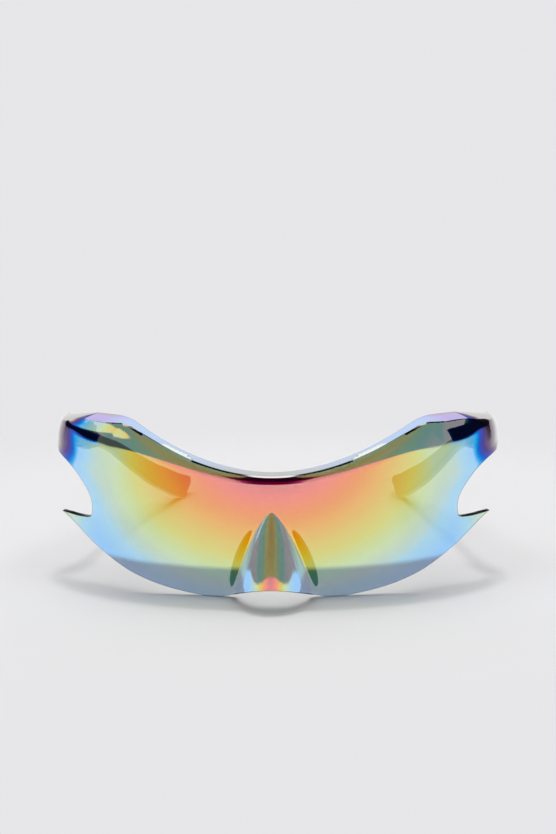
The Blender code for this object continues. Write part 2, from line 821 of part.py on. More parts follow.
def arm_height(along):
    return ARM_LENGTH * curve_at(ARM_HEIGHTS, along / ARM_LENGTH)


def tail_slant(along):
    """How far the lower edge stops short of the upper one, towards the slanted tail."""
    return ARM_TAIL_SLANT * ease(along / ARM_LENGTH, ARM_SLANT_SHARE, 1.0)


def tip_lift():
    """How far the temple's middle line is lifted at its tip, so that the tip just reaches the floor."""
    along = ARM_LENGTH - ARM_TAIL_LENGTH
    low_end = along - tail_slant(along)
    floor = (low_end * sin(PITCH) - hinge_place().z) / cos(PITCH)
    return floor + 0.5 * arm_height(along) - REST_CUT - arm_line(along)


def arm_middle(along):
    bend = along / ARM_LENGTH
    return Vector((seat_face() + 0.5 * ARM_THICKNESS - ARM_TUCK * bend ** 2, along,
                   arm_line(along) + tip_lift() * bend ** 2))


def arm_section(along, slim, thin):
    """Rounded section of the temple: slim scales its height and thin its thickness."""
    centre = arm_middle(along)
    half_height = 0.5 * arm_height(along) * slim
    half_width = 0.5 * ARM_THICKNESS * thin
    corner = min(ARM_BEVEL, half_height, half_width)
    ring = []
    for quarter in range(4):
        for step in range(ARM_CORNER_STEPS + 1):
            angle = 0.5 * pi * (quarter + step / ARM_CORNER_STEPS)
            across = cos(angle) * corner + (half_width - corner) * (1.0 if quarter in (0, 3) else -1.0)
            up = sin(angle) * corner + (half_height - corner) * (1.0 if quarter in (0, 1) else -1.0)
            back = 0.5 * tail_slant(along) * (up / half_height - 1.0)
            ring.append(centre + Vector((across, back, up)))
    return ring


def arm_stations():
    """Place, slimness and thinness of each section of the temple, the tail rounded off."""
    tail = ARM_LENGTH - ARM_TAIL_LENGTH
    stations = [(mix(BUTT_GAP, tail, step / ARM_STEPS), 1.0, 1.0) for step in range(ARM_STEPS + 1)]
    for step in range(1, ARM_TAIL_STEPS + 1):
        angle = ARM_TAIL_TURN * step / ARM_TAIL_STEPS
        slim = cos(angle) ** ARM_TAIL_POWER
        stations.append((tail + ARM_TAIL_LENGTH * sin(angle), slim, mix(ARM_TAIL_THIN, 1.0, slim)))
    return stations


def cut_level(mesh):
    """Cuts a temple, in the hinge's own axes, level with the floor."""
    form = bmesh.new()
    form.from_mesh(mesh)
    everything = form.verts[:] + form.edges[:] + form.faces[:]
    upward = Vector((0.0, -sin(PITCH), cos(PITCH)))
    floor = Vector((0.0, 0.0, -hinge_place().z / cos(PITCH)))
    cut = bmesh.ops.bisect_plane(form, geom=everything, plane_co=floor, plane_no=upward, clear_inner=True)
    rim = [piece for piece in cut["geom_cut"] if isinstance(piece, bmesh.types.BMEdge)]
    bmesh.ops.edgeloop_fill(form, edges=rim)
    face_outward(form)
    form.to_mesh(mesh)
    form.free()


def make_temple_arm(name, side, parts, cutters, material, parent):
    """Temple: straight in front, bent down behind the ear, with a rounded tail cut level at its tip."""
    rings = [sided(arm_section(*station), side) for station in arm_stations()]
    mesh = loft(name, rings)
    cut_level(mesh)
    arm = make_object(name, mesh, parts, material, parent)
    spots = leaf_screw_spots(1.0)
    radius = LEAF_SCREW_RADIUS + RUNNING_GAP
    for hole in drill_across(name + "_hole", spots, radius, LEAF_SCREW_DEPTH, side, cutters, parent):
        add_boolean(arm, "DIFFERENCE", hole)
    return arm


# Nose pads

def crease_turn(rise):
    """Where the inside of the beak's crease lies at this height."""
    half_width = beak_half_width(rise)
    return beak_turn(half_width)


def make_pad(name, side, parts, material, parent):
    """Leaf-shaped pad standing on the shield's inner skin along the crease, splayed to the nose."""
    back = Vector((sin(PAD_SPLAY), cos(PAD_SPLAY), 0.0))
    across = Vector((cos(PAD_SPLAY), -sin(PAD_SPLAY), 0.0))
    rings = []
    for row in range(PAD_RINGS):
        angle = pi * ((row + 0.5) / PAD_RINGS - 0.5)
        rise = mix(PAD_LOW, PAD_HIGH, 0.5 + 0.5 * sin(angle))
        swell = cos(angle) ** PAD_SWELL_POWER
        foot = shield_point(crease_turn(rise) + PAD_OFFSET / HALF_WIDTH, rise, WALL + SEAT_GAP)
        ring = []
        for step in range(PAD_POINTS + 1):
            turn = mix(-PAD_FOOT_TURN, PAD_FOOT_TURN, step / PAD_POINTS)
            ring.append(foot + back * (PAD_HALF_DEPTH * swell * (cos(turn) - cos(PAD_FOOT_TURN)))
                        + across * (PAD_HALF_THICKNESS * swell * sin(turn)))
        rings.append(sided(ring, side))
    return make_object(name, loft(name, rings), parts, material, parent)


# The shield and the whole part

def make_shield(parts, material, parent):
    shield = make_object("shield_lens", shield_mesh("shield_lens"), parts, material, parent)
    mirror = shield.modifiers.new("Mirror", "MIRROR")
    mirror.use_axis = (True, False, False)
    mirror.use_mirror_merge = True
    mirror.merge_threshold = 0.01 * WELD_DISTANCE
    return shield


def make_side(side_name, side, parts, cutters, looks, origin):
    axis = add_hinge_axis(side_name, side, parts, origin)
    prefix = side_name + "_"
    make_end_block(prefix + "end_block", side, parts, cutters, looks["nylon"], axis)
    make_leaf(prefix + "front_leaf", (0, 2), -1.0, side, parts, cutters, looks["steel"], axis)
    make_leaf(prefix + "temple_leaf", (1,), 1.0, side, parts, cutters, looks["steel"], axis)
    make_leaf_screws(prefix + "front_leaf_screw", -1.0, side, parts, looks["screw"], axis)
    make_leaf_screws(prefix + "temple_leaf_screw", 1.0, side, parts, looks["screw"], axis)
    make_hinge_screw(prefix + "hinge_screw", parts, looks["screw"], cutters, axis)
    make_temple_arm(prefix + "temple_arm", side, parts, cutters, looks["gloss_black"], axis)
    make_pad(prefix + "nose_pad", side, parts, looks["pad_rubber"], origin)


def make_looks():
    return {
        "shield": make_material("shield_mirror", (0.86, 0.62, 0.42), 0.05, 0.6, 0.75),
        "nylon": make_material("black_nylon", (0.015, 0.015, 0.017), 0.35),
        "gloss_black": make_material("gloss_black_temple", (0.01, 0.01, 0.012), 0.12),
        "pad_rubber": make_material("dark_pad_rubber", (0.02, 0.02, 0.022), 0.6),
        "steel": make_material("hinge_steel", (0.06, 0.06, 0.065), 0.3, 1.0),
        "screw": make_material("screw_steel", (0.12, 0.12, 0.125), 0.25, 1.0),
    }


def main():
    clear_scene()
    parts = make_collection("racer_sunglasses")
    cutters = make_collection("cutters")
    looks = make_looks()
    origin = add_origin(parts)
    make_shield(parts, looks["shield"], origin)
    for side_name, side in SIDES:
        make_side(side_name, side, parts, cutters, looks, origin)


main()
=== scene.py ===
"""Mirrored racer sunglasses on a pale floor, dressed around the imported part."""

import json
from collections import namedtuple
from math import asin, atan2, cos, degrees, hypot, pi, radians, sin, sqrt

import bpy
import numpy as np
from mathutils import Matrix, Vector
from mathutils.geometry import delaunay_2d_cdt


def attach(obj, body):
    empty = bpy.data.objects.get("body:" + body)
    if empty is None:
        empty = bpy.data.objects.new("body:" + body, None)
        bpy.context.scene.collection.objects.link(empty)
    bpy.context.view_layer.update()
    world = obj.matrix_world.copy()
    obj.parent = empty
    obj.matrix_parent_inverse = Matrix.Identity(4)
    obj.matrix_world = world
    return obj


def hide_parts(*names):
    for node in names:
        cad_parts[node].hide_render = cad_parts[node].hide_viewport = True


MM = 0.001

# The shield's sizes, from here to the end of its outline, are those of part.py

# Shield, seen from above: an ellipse round the face
HALF_WIDTH = 77.5 * MM
PLAN_DEPTH = 52.0 * MM
WALL = 2.0 * MM
WRAP_TURN = radians(105.0)

# Shield, seen from the side: one arc up the middle, a smaller one at the temples
MIDDLE_HEIGHT = 30.0 * MM
MIDDLE_RADIUS = 45.0 * MM
TEMPLE_HEIGHT = 48.0 * MM
TEMPLE_RADIUS = 16.0 * MM
TEMPLE_BLEND_TURNS = (radians(46.0), radians(88.0))
TEMPLE_BLEND_RISES = (26.0 * MM, 38.0 * MM)

# Rolled brow
BROW_LOW = 44.5 * MM
BROW_HIGH = 58.9 * MM
BROW_CORNER = 56.8 * MM
BROW_END = 52.4 * MM
BROW_RISE_TURNS = (0.0, radians(58.5))
BROW_FALL_TURNS = (radians(68.0), radians(89.0))
BROW_END_TURNS = (radians(88.0), radians(106.0))
ROLL_MIDDLE = 2.5 * MM
ROLL_SIDE = 14.0 * MM
ROLL_CORNER = 4.4 * MM
ROLL_SIDE_TURN = radians(50.0)
ROLL_SIDE_POWER = 2.0
ROLL_CORNER_TURNS = (radians(56.0), radians(86.0))
ROLL_END = radians(82.0)
SHELF_TILT = radians(68.0)
SHELF_RADIUS = 22.0 * MM
SHELF_CORNER = 3.0 * MM
SHELF_FADE_TURNS = (radians(68.0), radians(88.0))

# Nose beak
BEAK_TOP = 32.3 * MM
BEAK_CORNER_RISE = 1.2 * MM
BEAK_LIP_RISE = 8.3 * MM
BEAK_HALF_WIDTH = 15.2 * MM
BEAK_REACH = 11.5 * MM
BEAK_WIDTH_POWER = 0.665
BEAK_SHARE_LIMIT = 1.2
BEAK_CURVE = radians(62.0)

# Fin below each notch, bent out straight from the ellipse
FIN_TURN = radians(52.0)
FIN_LENGTH = 15.0 * MM
FIN_FLARE = 2.0 * MM
FIN_BLEND_RISES = (29.0 * MM, 36.0 * MM)

# Outline of half the shield: shares of a quarter turn, and of the brow's height
LAND_SHARES = ((0.165, 0.0), (0.225, 0.0))
LOWER_EDGE_SHARES = (
    (0.272, 0.0153), (0.333, 0.0371), (0.40, 0.0708), (0.47, 0.1198),
    (0.514, 0.1618), (0.553, 0.2057), (0.593, 0.2513), (0.624, 0.294),
    (0.6475, 0.3334), (0.672, 0.3729), (0.70, 0.4143), (0.728, 0.4528),
)
FIN_TOP_SHARES = ((0.705, 0.4494), (0.672, 0.4415), (0.642, 0.439), (0.616, 0.4415))
NOTCH_SHARES = (
    (0.602, 0.4528), (0.597, 0.4785), (0.5965, 0.5179), (0.604, 0.5574), (0.624, 0.6008),
    (0.658, 0.6462), (0.697, 0.6866), (0.742, 0.7172), (0.800, 0.7419), (0.876, 0.7537),
    (0.970, 0.7419), (1.045, 0.7221), (1.095, 0.7083),
)
END_CAP_SHARE = 1.14
END_CAP_POWER = 0.6

# Net of points that the shield is draped from
NET_TURN_STEP = radians(1.5)
NET_ROWS = 34
ROLL_ROWS = 20
SHELF_ROWS = 8
BEAK_COLUMNS = 14
BEAK_ROWS = 34
BEAK_ROW_POWER = 1.6
BEAK_CLEARANCE = 0.1 * MM
EDGE_STEPS = 6
END_CAP_STEPS = 16
NET_SCALE = 62.0 * MM
NET_CLEARANCE = 0.5 * MM
NET_INSIDE_ONLY = 1
NET_TOLERANCE = 1e-8
LEAST_SQUARED_LENGTH = 1e-18
CREASE_CLEARANCE = 0.45 * MM

# Rounded rim of the shown shield, and where its normals are read
RIM_RADIUS = 0.35 * MM
RIM_STEPS = 3
RIM_CORNER_SHARE = 0.55
RIM_LEAST_RADIUS = 0.02 * MM
CREASE_CLEARANCE_SHARE = 0.35
TIP_CLEARANCE_SHARE = 0.2
PROBE_TURN = 0.0001
PROBE_RISE = 0.006 * MM
CORNER_SHARE = 0.25
SEAM_WIDTH = 0.001 * MM

# From the shield's own origin to the frame's
ORIGIN_SHIFT = -30.42338 * MM

# Mirror film, whose colours run with a phase in degrees
FILM_TILT = 39.0
FILM_TILT_WEIGHT = 0.5
FILM_SPAN = 140.0
FILM_LAST = 90.0
FILM_SHARE = 0.69
FILM_ROUGHNESS = 0.03
FILM_COVER_PHASES = (64.0, 70.0)

# Linear colour at each phase, of what it mirrors and of what it lets through
# Phases 90 to 98 of the mirrored colours hold painted light: 94 is the painted dark shade line, 97 and 98 are
# the painted highlight and glints, and the painted grey shade line at 92.8 lies between the stops at 90 and
# 94
FILM_MIRROR = (
    (0.0, (0.10, 0.0, 0.025)), (3.0, (0.30, 0.02, 0.10)), (13.0, (0.46, 0.02, 0.17)),
    (18.7, (0.55, 0.04, 0.17)), (21.0, (0.66, 0.05, 0.14)), (24.0, (0.71, 0.08, 0.07)),
    (28.0, (0.74, 0.13, 0.01)), (32.0, (0.75, 0.23, 0.0)), (36.5, (0.62, 0.33, 0.0)),
    (41.5, (0.56, 0.44, 0.03)), (45.7, (0.43, 0.48, 0.15)), (50.0, (0.33, 0.47, 0.30)),
    (53.7, (0.26, 0.46, 0.45)), (56.3, (0.18, 0.45, 0.60)), (64.0, (0.10, 0.38, 0.70)),
    (66.0, (0.02, 0.39, 0.77)), (69.0, (0.0, 0.22, 0.68)), (72.0, (0.01, 0.10, 0.56)),
    (75.0, (0.05, 0.07, 0.42)), (78.0, (0.08, 0.045, 0.25)), (82.0, (0.15, 0.10, 0.19)),
    (86.0, (0.31, 0.26, 0.29)), (90.0, (0.62, 0.61, 0.60)), (94.0, (0.003, 0.005, 0.006)),
    (97.0, (0.92, 0.94, 0.93)), (98.0, (0.92, 0.94, 0.93)), (100.0, (0.54, 0.53, 0.52)),
    (110.0, (0.50, 0.66, 0.92)), (124.0, (0.53, 0.45, 0.81)), (132.0, (0.48, 0.41, 0.50)),
    (138.0, (0.37, 0.32, 0.49)),
)
# Phases 0 and 3 let almost nothing through: the painted dark shade line in the middle of the brow's roll
FILM_PASSED = (
    (0.0, (0.02, 0.0, 0.005)), (3.0, (0.03, 0.005, 0.01)), (6.0, (0.36, 0.22, 0.08)),
    (13.0, (0.34, 0.27, 0.09)), (18.0, (0.29, 0.33, 0.12)), (23.0, (0.23, 0.35, 0.17)),
    (28.0, (0.18, 0.34, 0.20)), (34.0, (0.15, 0.31, 0.24)), (42.0, (0.14, 0.29, 0.29)),
    (48.0, (0.27, 0.40, 0.36)), (51.0, (0.30, 0.28, 0.29)), (58.0, (0.31, 0.29, 0.30)),
    (64.0, (0.31, 0.29, 0.31)), (66.0, (0.10, 0.13, 0.20)), (69.0, (0.04, 0.05, 0.09)),
    (72.0, (0.02, 0.02, 0.03)), (90.0, (0.02, 0.02, 0.03)),
)

# Turns over which the brow's roll takes up its colours from the middle outwards; in the middle the roll keeps
# phase 0, a painted dark magenta shade line
MIDDLE_ROLL_TURNS = (4.0, 14.0)

# What is added to the phase in the upper ends: phase, then addition
CORNER_RUN = (
    (46.0, 0.0), (48.0, 1.5), (50.0, 3.2), (52.0, 4.5), (56.0, 7.5), (58.0, 8.5), (59.0, 9.0), (60.0, 10.5),
    (61.0, 12.0), (64.0, 13.5), (66.0, 14.0), (70.0, 12.0), (76.0, 10.0), (84.0, 6.0),
)
CORNER_RISES = (41.0 * MM, 49.0 * MM)

# More of it at the very ends, and where the white card is mirrored
CORNER_EXTRA = 8.0
CORNER_EXTRA_TURNS = (62.0, 69.0)
CORNER_EXTRA_TILTS = (30.0, 52.0)
CARD_EXTRA = 5.0
CARD_EXTRA_TURNS = (54.0, 61.0)
CARD_EXTRA_TILTS = (38.0, 50.0)

# Last phase of the face below the upper ends
FACE_LAST = 64.0

# Painted shade patch in the upper corners, dark for the black end blocks behind the film and the dark ceiling
# it mirrors there; it reaches less high on the -X half
PAINTED_SHADE_PATCH_PHASE = 74.0
PAINTED_SHADE_PATCH_TURNS = (53.0, 57.0)
PAINTED_SHADE_PATCH_LOW_TILTS = (24.5, 29.0)
PAINTED_SHADE_PATCH_HIGH_TILTS = {1.0: (46.0, 52.0), -1.0: (38.0, 44.0)}

# Edge of the brow's shelf: a painted dark shade line with a painted highlight in its middle and two painted
# glints, a painted grey shade line further out, and the coloured strip above it
LINE_TILT = radians(69.3)
STRIP_TILT = radians(72.3)
PAINTED_DARK_LINE_PHASE = 94.0
PAINTED_HIGHLIGHT_PHASE = 97.0
PAINTED_HIGHLIGHT_MIDDLE_TURNS = (4.0, 8.0)
PAINTED_GLINT_IN_TURNS = (21.0, 24.0)
PAINTED_GLINT_OUT_TURNS = (31.0, 34.5)
PAINTED_DARK_LINE_LAST = 22.0
PAINTED_GREY_SHADE_PHASE = 92.8
PAINTED_GREY_SHADE_TURNS = (40.0, 52.0)
PAINTED_GLINT_SPREAD = 5.0
STRIP_PHASE = 100.0
STRIP_RUN = 24.0
STRIP_LOW_SHARE = 0.42
STRIP_FULL_TURN = 34.0
STRIP_DULL_TURNS = (48.0, 62.0)
STRIP_LAST_TURN = 69.0
STRIP_DROP = 10.0
STRIP_DROP_TURNS = (46.0, 58.0)
STRIP_DULL_RUN = 14.0

# Fairing of the shading where the lens runs up into the brow, in degrees of tilt
FAIR_TILT = 16.5
FAIR_RISE_TILTS = (8.0, 33.0)
FAIR_FALL_TILTS = (35.0, 64.0)
FAIR_RISES = (32.5 * MM, 36.0 * MM)

# Shield's bare inner face and its rim
INNER_COLOUR = (0.03, 0.028, 0.03)
INNER_ROUGHNESS = 0.05
INNER_SHARE = 0.06
RIM_COLOUR = (0.012, 0.011, 0.014)
RIM_ROUGHNESS = 0.12

# Material of each slot: name, colour, roughness, metallic, bump, grain
PLAIN_LOOKS = {
    "black_nylon": ("black_nylon", (0.006, 0.006, 0.007), 0.32, 0.0, 0.3, 400.0),
    "gloss_black_temple": ("gloss_black", (0.008, 0.008, 0.009), 0.14, 0.0, 0.1, 150.0),
    "dark_pad_rubber": ("pad_rubber", (0.03, 0.03, 0.032), 0.55, 0.0, 0.5, 700.0),
    "hinge_steel": ("hinge_steel", (0.06, 0.06, 0.065), 0.30, 1.0, 0.3, 900.0),
    "screw_steel": ("screw_steel", (0.12, 0.12, 0.125), 0.25, 1.0, 0.3, 1200.0),
}
GRAIN_DETAIL = 4.0
GRAIN_GLOSS = (0.8, 1.3)
GRAIN_TINT = 1.6
GRAIN_TINT_LIFT = 0.004
GRAIN_DEPTH = 0.05 * MM

# Floor and backdrop
FLOOR_COLOUR = (0.80, 0.80, 0.81)
FLOOR_FAR = (0.795, 0.795, 0.81)
FLOOR_REFLECTED = (1.0, 1.0, 1.0)
FLOOR_FADE = (0.13, 0.25)
FLOOR_FRONT = 2.0
FLOOR_BACK = 1.0
FLOOR_HALF_WIDTH = 1.7
SWEEP_RADIUS = 0.25
SWEEP_STEPS = 16
BACKDROP_HEIGHT = 1.8

# Painted shadow: an oval under the shield that reflections see darker, standing in for the shield's shadow
# there. Its sharpness is one over its half axes in metres
PAINTED_SHADOW_MIRRORED = (0.10, 0.235, 0.29)
PAINTED_SHADOW_CENTRE = (0.0, -0.02, 0.0)
PAINTED_SHADOW_SHARPNESS = (11.4, 15.2, 0.0)
PAINTED_SHADOW_EDGE = (0.96, 1.03)

# Surroundings, whose directions and heights are those of a unit sphere
WORLD_DARK = 0.03
WORLD_FRONT_HEIGHT = 0.45
WORLD_SIDE_DROP = 0.32
WORLD_BACK_HEIGHT = 0.10
WORLD_TURN = (0.0, 0.9)
WORLD_EDGE = 0.02
CARD_PLACE = (-0.72, 0.32, 0.62)
CARD_REACH = (0.36, 0.44)

# Lamps
LAMP_PLACE = (0.0, 0.55, 3.6)
LAMP_SIZE = (0.5, 0.3)
LAMP_POWER = 24.0
FILL_PLACE = (0.0, 0.0, 2.6)
FILL_SIZE = (3.0, 3.0)
FILL_POWER = 61.0

# Camera
SENSOR = 36.0
LENS = 105.1
CAMERA_PITCH = radians(10.8)
CAMERA_YAW = radians(2.5)
CAMERA_ROLL = radians(0.6)
CAMERA_PLACE = Vector((0.0369, -0.8696, 0.215))
CAMERA_CLIP = 0.01

# A face's corners, material slot, shading normals, and film phases on the +X half and on its mirror image
Face = namedtuple("Face", "corners slot normals phases twins")
FILM_SLOT, INNER_SLOT, RIM_SLOT = range(3)


def ease(value, start, end):
    """0 up to the start, 1 from the end on, and a smooth step between them."""
    share = min(max((value - start) / (end - start), 0.0), 1.0)
    return share * share * (3.0 - 2.0 * share)


def mix(first, second, share):
    """The value this share of the way from the first to the second."""
    return first + (second - first) * share


def smooth_through(points, steps):
    """A smooth line through every point, with steps pieces between neighbours."""
    line = []
    for index in range(len(points) - 1):
        before = points[max(index - 1, 0)]
        start = points[index]
        end = points[index + 1]
        after = points[min(index + 2, len(points) - 1)]
        for step in range(steps):
            share = step / steps
            line.append(tuple(
                0.5 * (2.0 * b + (c - a) * share + (2.0 * a - 5.0 * b + 4.0 * c - d) * share ** 2
                       + (3.0 * b - a - 3.0 * c + d) * share ** 3)
                for a, b, c, d in zip(before, start, end, after)))
    line.append(tuple(points[-1]))
    return line


def plan_point(turn):
    """Point of the plan ellipse at this turn round the face."""
    return Vector((HALF_WIDTH * sin(turn), -PLAN_DEPTH * cos(turn), 0.0))


def plan_outward(turn):
    """Outward direction of the plan ellipse there."""
    return Vector((PLAN_DEPTH * sin(turn), -HALF_WIDTH * cos(turn), 0.0)).normalized()


def roll_radius(turn):
    """Radius of the brow's roll."""
    share = min(abs(turn) / ROLL_SIDE_TURN, 1.0)
    side = mix(ROLL_MIDDLE, ROLL_SIDE, share ** ROLL_SIDE_POWER)
    return mix(side, ROLL_CORNER, ease(turn, *ROLL_CORNER_TURNS))


def shelf_radius(turn):
    """Radius of the shelf that the roll runs out into at its top."""
    return mix(SHELF_RADIUS, SHELF_CORNER, ease(turn, *SHELF_FADE_TURNS))


def brow_rise(turn):
    """Height of the brow's crest."""
    rise = mix(BROW_LOW, BROW_HIGH, ease(turn, *BROW_RISE_TURNS))
    rise = mix(rise, BROW_CORNER, ease(turn, *BROW_FALL_TURNS))
    return mix(rise, BROW_END, ease(turn, *BROW_END_TURNS))


def upright_arc(turn, rise):
    """Centre height and radius of the shield's upright curve."""
    share = ease(turn, *TEMPLE_BLEND_TURNS) * ease(rise, *TEMPLE_BLEND_RISES)
    return mix(MIDDLE_HEIGHT, TEMPLE_HEIGHT, share), mix(MIDDLE_RADIUS, TEMPLE_RADIUS, share)


def roll_start(turn):
    """Height where the brow's roll begins, and the surface's tilt there."""
    crest = brow_rise(turn)
    radius = roll_radius(turn)
    rolled = radius * sin(SHELF_TILT) + shelf_radius(turn) * (sin(ROLL_END) - sin(SHELF_TILT))
    centre, upright = upright_arc(turn, crest)
    share = (crest - centre - rolled) / (upright - radius)
    return centre + upright * share, asin(share)


def top_rise(turn):
    """The far edge of the roll, measured up the surface."""
    start, tilt = roll_start(turn)
    return start + roll_radius(turn) * (SHELF_TILT - tilt) + shelf_radius(turn) * (ROLL_END - SHELF_TILT)


def upright_profile(turn, rise, depth):
    """How far in from the plan ellipse a point lies, and its height."""
    start, start_tilt = roll_start(turn)
    if rise <= start:
        centre, radius = upright_arc(turn, rise)
        tilt = asin((rise - centre) / radius)
        inset = radius * (1.0 - cos(tilt))
        height = rise
    else:
        centre, upright = upright_arc(turn, start)
        radius = roll_radius(turn)
        tilt = start_tilt + (rise - start) / radius
        rolled = min(tilt, SHELF_TILT)
        inset = upright * (1.0 - cos(start_tilt)) + radius * (cos(start_tilt) - cos(rolled))
        height = start + radius * (sin(rolled) - sin(start_tilt))
        if tilt > SHELF_TILT:
            shelf = shelf_radius(turn)
            tilt = SHELF_TILT + (tilt - SHELF_TILT) * radius / shelf
            inset += shelf * (cos(SHELF_TILT) - cos(tilt))
            height += shelf * (sin(tilt) - sin(SHELF_TILT))
    return inset + depth * cos(tilt), height - depth * sin(tilt)


def fin_plan(turn):
    """Plan point and outward direction on the straight, flared fin."""
    outward = plan_outward(FIN_TURN)
    along = Vector((-outward.y, outward.x, 0.0))
    speed = hypot(HALF_WIDTH * cos(FIN_TURN), PLAN_DEPTH * sin(FIN_TURN))
    reach = speed * (turn - FIN_TURN)
    share = reach / FIN_LENGTH
    point = plan_point(FIN_TURN) + along * reach + outward * FIN_FLARE * share ** 2
    slope = 2.0 * FIN_FLARE * share / FIN_LENGTH
    return point, (outward - along * slope).normalized()


def beak_share(rise):
    """How far down the beak this height is: 0 at its tip and 1 at its foot."""
    return min(max((BEAK_TOP - rise) / (BEAK_TOP - BEAK_CORNER_RISE), 0.0), BEAK_SHARE_LIMIT)


def beak_half_width(rise):
    """Half the beak's width at this height."""
    return BEAK_HALF_WIDTH * beak_share(rise) ** BEAK_WIDTH_POWER


def beak_turn(half_width):
    """The turn at which the plan ellipse lies this far from the middle plane."""
    return asin(half_width / HALF_WIDTH)


def beak_bulge(rise):
    """How far the beak's ridge stands out from the shield at this height."""
    inset, height = upright_profile(0.0, rise, 0.0)
    down = (BEAK_TOP - rise) / (BEAK_TOP - BEAK_LIP_RISE)
    return BEAK_REACH * sin(BEAK_CURVE * down) / sin(BEAK_CURVE) + inset


def shield_point(turn, rise, depth=0.0):
    """A point of the shield: turn round the face, rise up the surface, depth below the outer skin."""
    forward = 0.0
    half_width = beak_half_width(rise)
    if half_width > 0.0:
        edge = beak_turn(half_width)
        if turn < edge:
            across = turn / edge
            slim = half_width / (half_width + depth)
            forward = beak_bulge(rise) * slim * sqrt(max(1.0 - across ** 2, 0.0))
            turn = beak_turn(half_width * slim) * across
        else:
            slimmer = beak_turn(half_width * half_width / (half_width + depth))
            turn -= (edge - slimmer) * (1.0 - ease(turn, edge, edge + beak_turn(BEAK_HALF_WIDTH)))
    inset, height = upright_profile(turn, rise, depth)
    point = plan_point(turn)
    outward = plan_outward(turn)
    if turn > FIN_TURN:
        share = 1.0 - ease(rise, *FIN_BLEND_RISES)
        fin_point, fin_outward = fin_plan(turn)
        point = mix(point, fin_point, share)
        outward = mix(outward, fin_outward, share).normalized()
    place = point - outward * inset
    return Vector((place.x, place.y - forward, height))


def from_shares(shares):
    """Turn and rise of each point of an outline that is written in shares."""
    return [(0.5 * pi * turn, BROW_HIGH * rise) for turn, rise in shares]


def beak_rows(low):
    """Rises from the beak's tip down to this one, closest together at the tip."""
    return [mix(BEAK_TOP, low, (step / BEAK_ROWS) ** BEAK_ROW_POWER) for step in range(BEAK_ROWS + 1)]


def beak_crease():
    """The line where the beak leaves the shield, from its foot to its tip."""
    line = [(beak_turn(beak_half_width(rise)), rise) for rise in beak_rows(BEAK_CORNER_RISE)]
    line.reverse()
    return line


def beak_lip(across):
    """Rise of the beak's lower lip at this share of its half width."""
    return mix(BEAK_CORNER_RISE, BEAK_LIP_RISE, sqrt(max(1.0 - across ** 2, 0.0)))


def beak_columns():
    """Shares of the beak's half width where the net has a column, closest together at the crease."""
    return [sin(0.5 * pi * step / BEAK_COLUMNS) for step in range(BEAK_COLUMNS + 1)]


def beak_points(across):
    """A line down the beak at this share of its half width, from below its tip to its lip."""
    line = []
    for rise in beak_rows(beak_lip(across)):
        half_width = beak_half_width(rise)
        if half_width > BEAK_COLUMNS * BEAK_CLEARANCE:
            line.append((beak_turn(half_width) * across, rise))
    return line


def lip_line():
    """The beak's lower lip, from the middle to the crease's foot."""
    line = []
    for across in beak_columns()[:-1]:
        rise = beak_lip(across)
        line.append((beak_turn(beak_half_width(rise)) * across, rise))
    return line


def end_cap():
    """The rounded rear end of the side strip, from its lower edge to its top."""
    start = from_shares(NOTCH_SHARES)[-1]
    turn = 0.5 * pi * END_CAP_SHARE
    top = top_rise(start[0])
    middle = 0.5 * (start[1] + top)
    line = []
    for step in range(1, END_CAP_STEPS):
        angle = pi * (step / END_CAP_STEPS - 0.5)
        reach = cos(angle) ** END_CAP_POWER
        line.append((mix(start[0], turn, reach), middle + 0.5 * (top - start[1]) * sin(angle)))
    return line


def rise_at_tilt(turn, tilt):
    """How far up the surface the brow's roll reaches this tilt."""
    start, start_tilt = roll_start(turn)
    rolled = roll_radius(turn) * (min(tilt, SHELF_TILT) - start_tilt)
    return start + rolled + shelf_radius(turn) * max(tilt - SHELF_TILT, 0.0)


def net_rises(turn):
    """Rise of each row of the net at this turn, with the brow's roll last."""
    start, tilt = roll_start(turn)
    line = rise_at_tilt(turn, LINE_TILT)
    strip = rise_at_tilt(turn, STRIP_TILT)
    body = [start * (row + 0.5) / NET_ROWS for row in range(NET_ROWS)]
    roll = [mix(start, line, row / ROLL_ROWS) for row in range(ROLL_ROWS)]
    top = top_rise(turn)
    return body + roll + [line] + [mix(strip, top, row / SHELF_ROWS) for row in range(SHELF_ROWS + 1)]


def net_turns():
    """Turn of each column of the net."""
    count = int(WRAP_TURN / NET_TURN_STEP) + 1
    return [NET_TURN_STEP * step for step in range(1, count)]


def half_outline():
    """Closed outline of the +X half, starting at the beak's lip and going out along the lower edge."""
    land = from_shares(LAND_SHARES)
    level = [(mix(land[0][0], land[1][0], step / EDGE_STEPS), 0.0) for step in range(EDGE_STEPS)]
    lower = [beak_crease()[0]] + level
    lower += smooth_through([land[1]] + from_shares(LOWER_EDGE_SHARES), EDGE_STEPS)
    fin_top = smooth_through(from_shares((LOWER_EDGE_SHARES[-1],) + FIN_TOP_SHARES), EDGE_STEPS)
    notch = smooth_through(from_shares((FIN_TOP_SHARES[-1],) + NOTCH_SHARES), EDGE_STEPS)
    line = lip_line() + lower + fin_top[1:] + notch[1:] + end_cap()
    last = from_shares(NOTCH_SHARES)[-1][0]
    turns = [last] + [turn for turn in reversed(net_turns()) if turn < last - 0.5 * NET_TURN_STEP] + [0.0]
    line += [(turn, top_rise(turn)) for turn in turns]
    middle = [(0.0, rise) for rise in reversed(net_rises(0.0)[:-1]) if rise > BEAK_TOP + CREASE_CLEARANCE]
    return line + middle + [(0.0, BEAK_TOP)] + beak_points(0.0)[:-1]


def to_net(place):
    """The place on the flat net, in metres both ways."""
    return Vector((place[0] * NET_SCALE, place[1]))


def nearest_index(places, place):
    """Which of the places lies nearest to this one on the net."""
    return min(range(len(places)), key=lambda index: (to_net(places[index]) - to_net(place)).length)


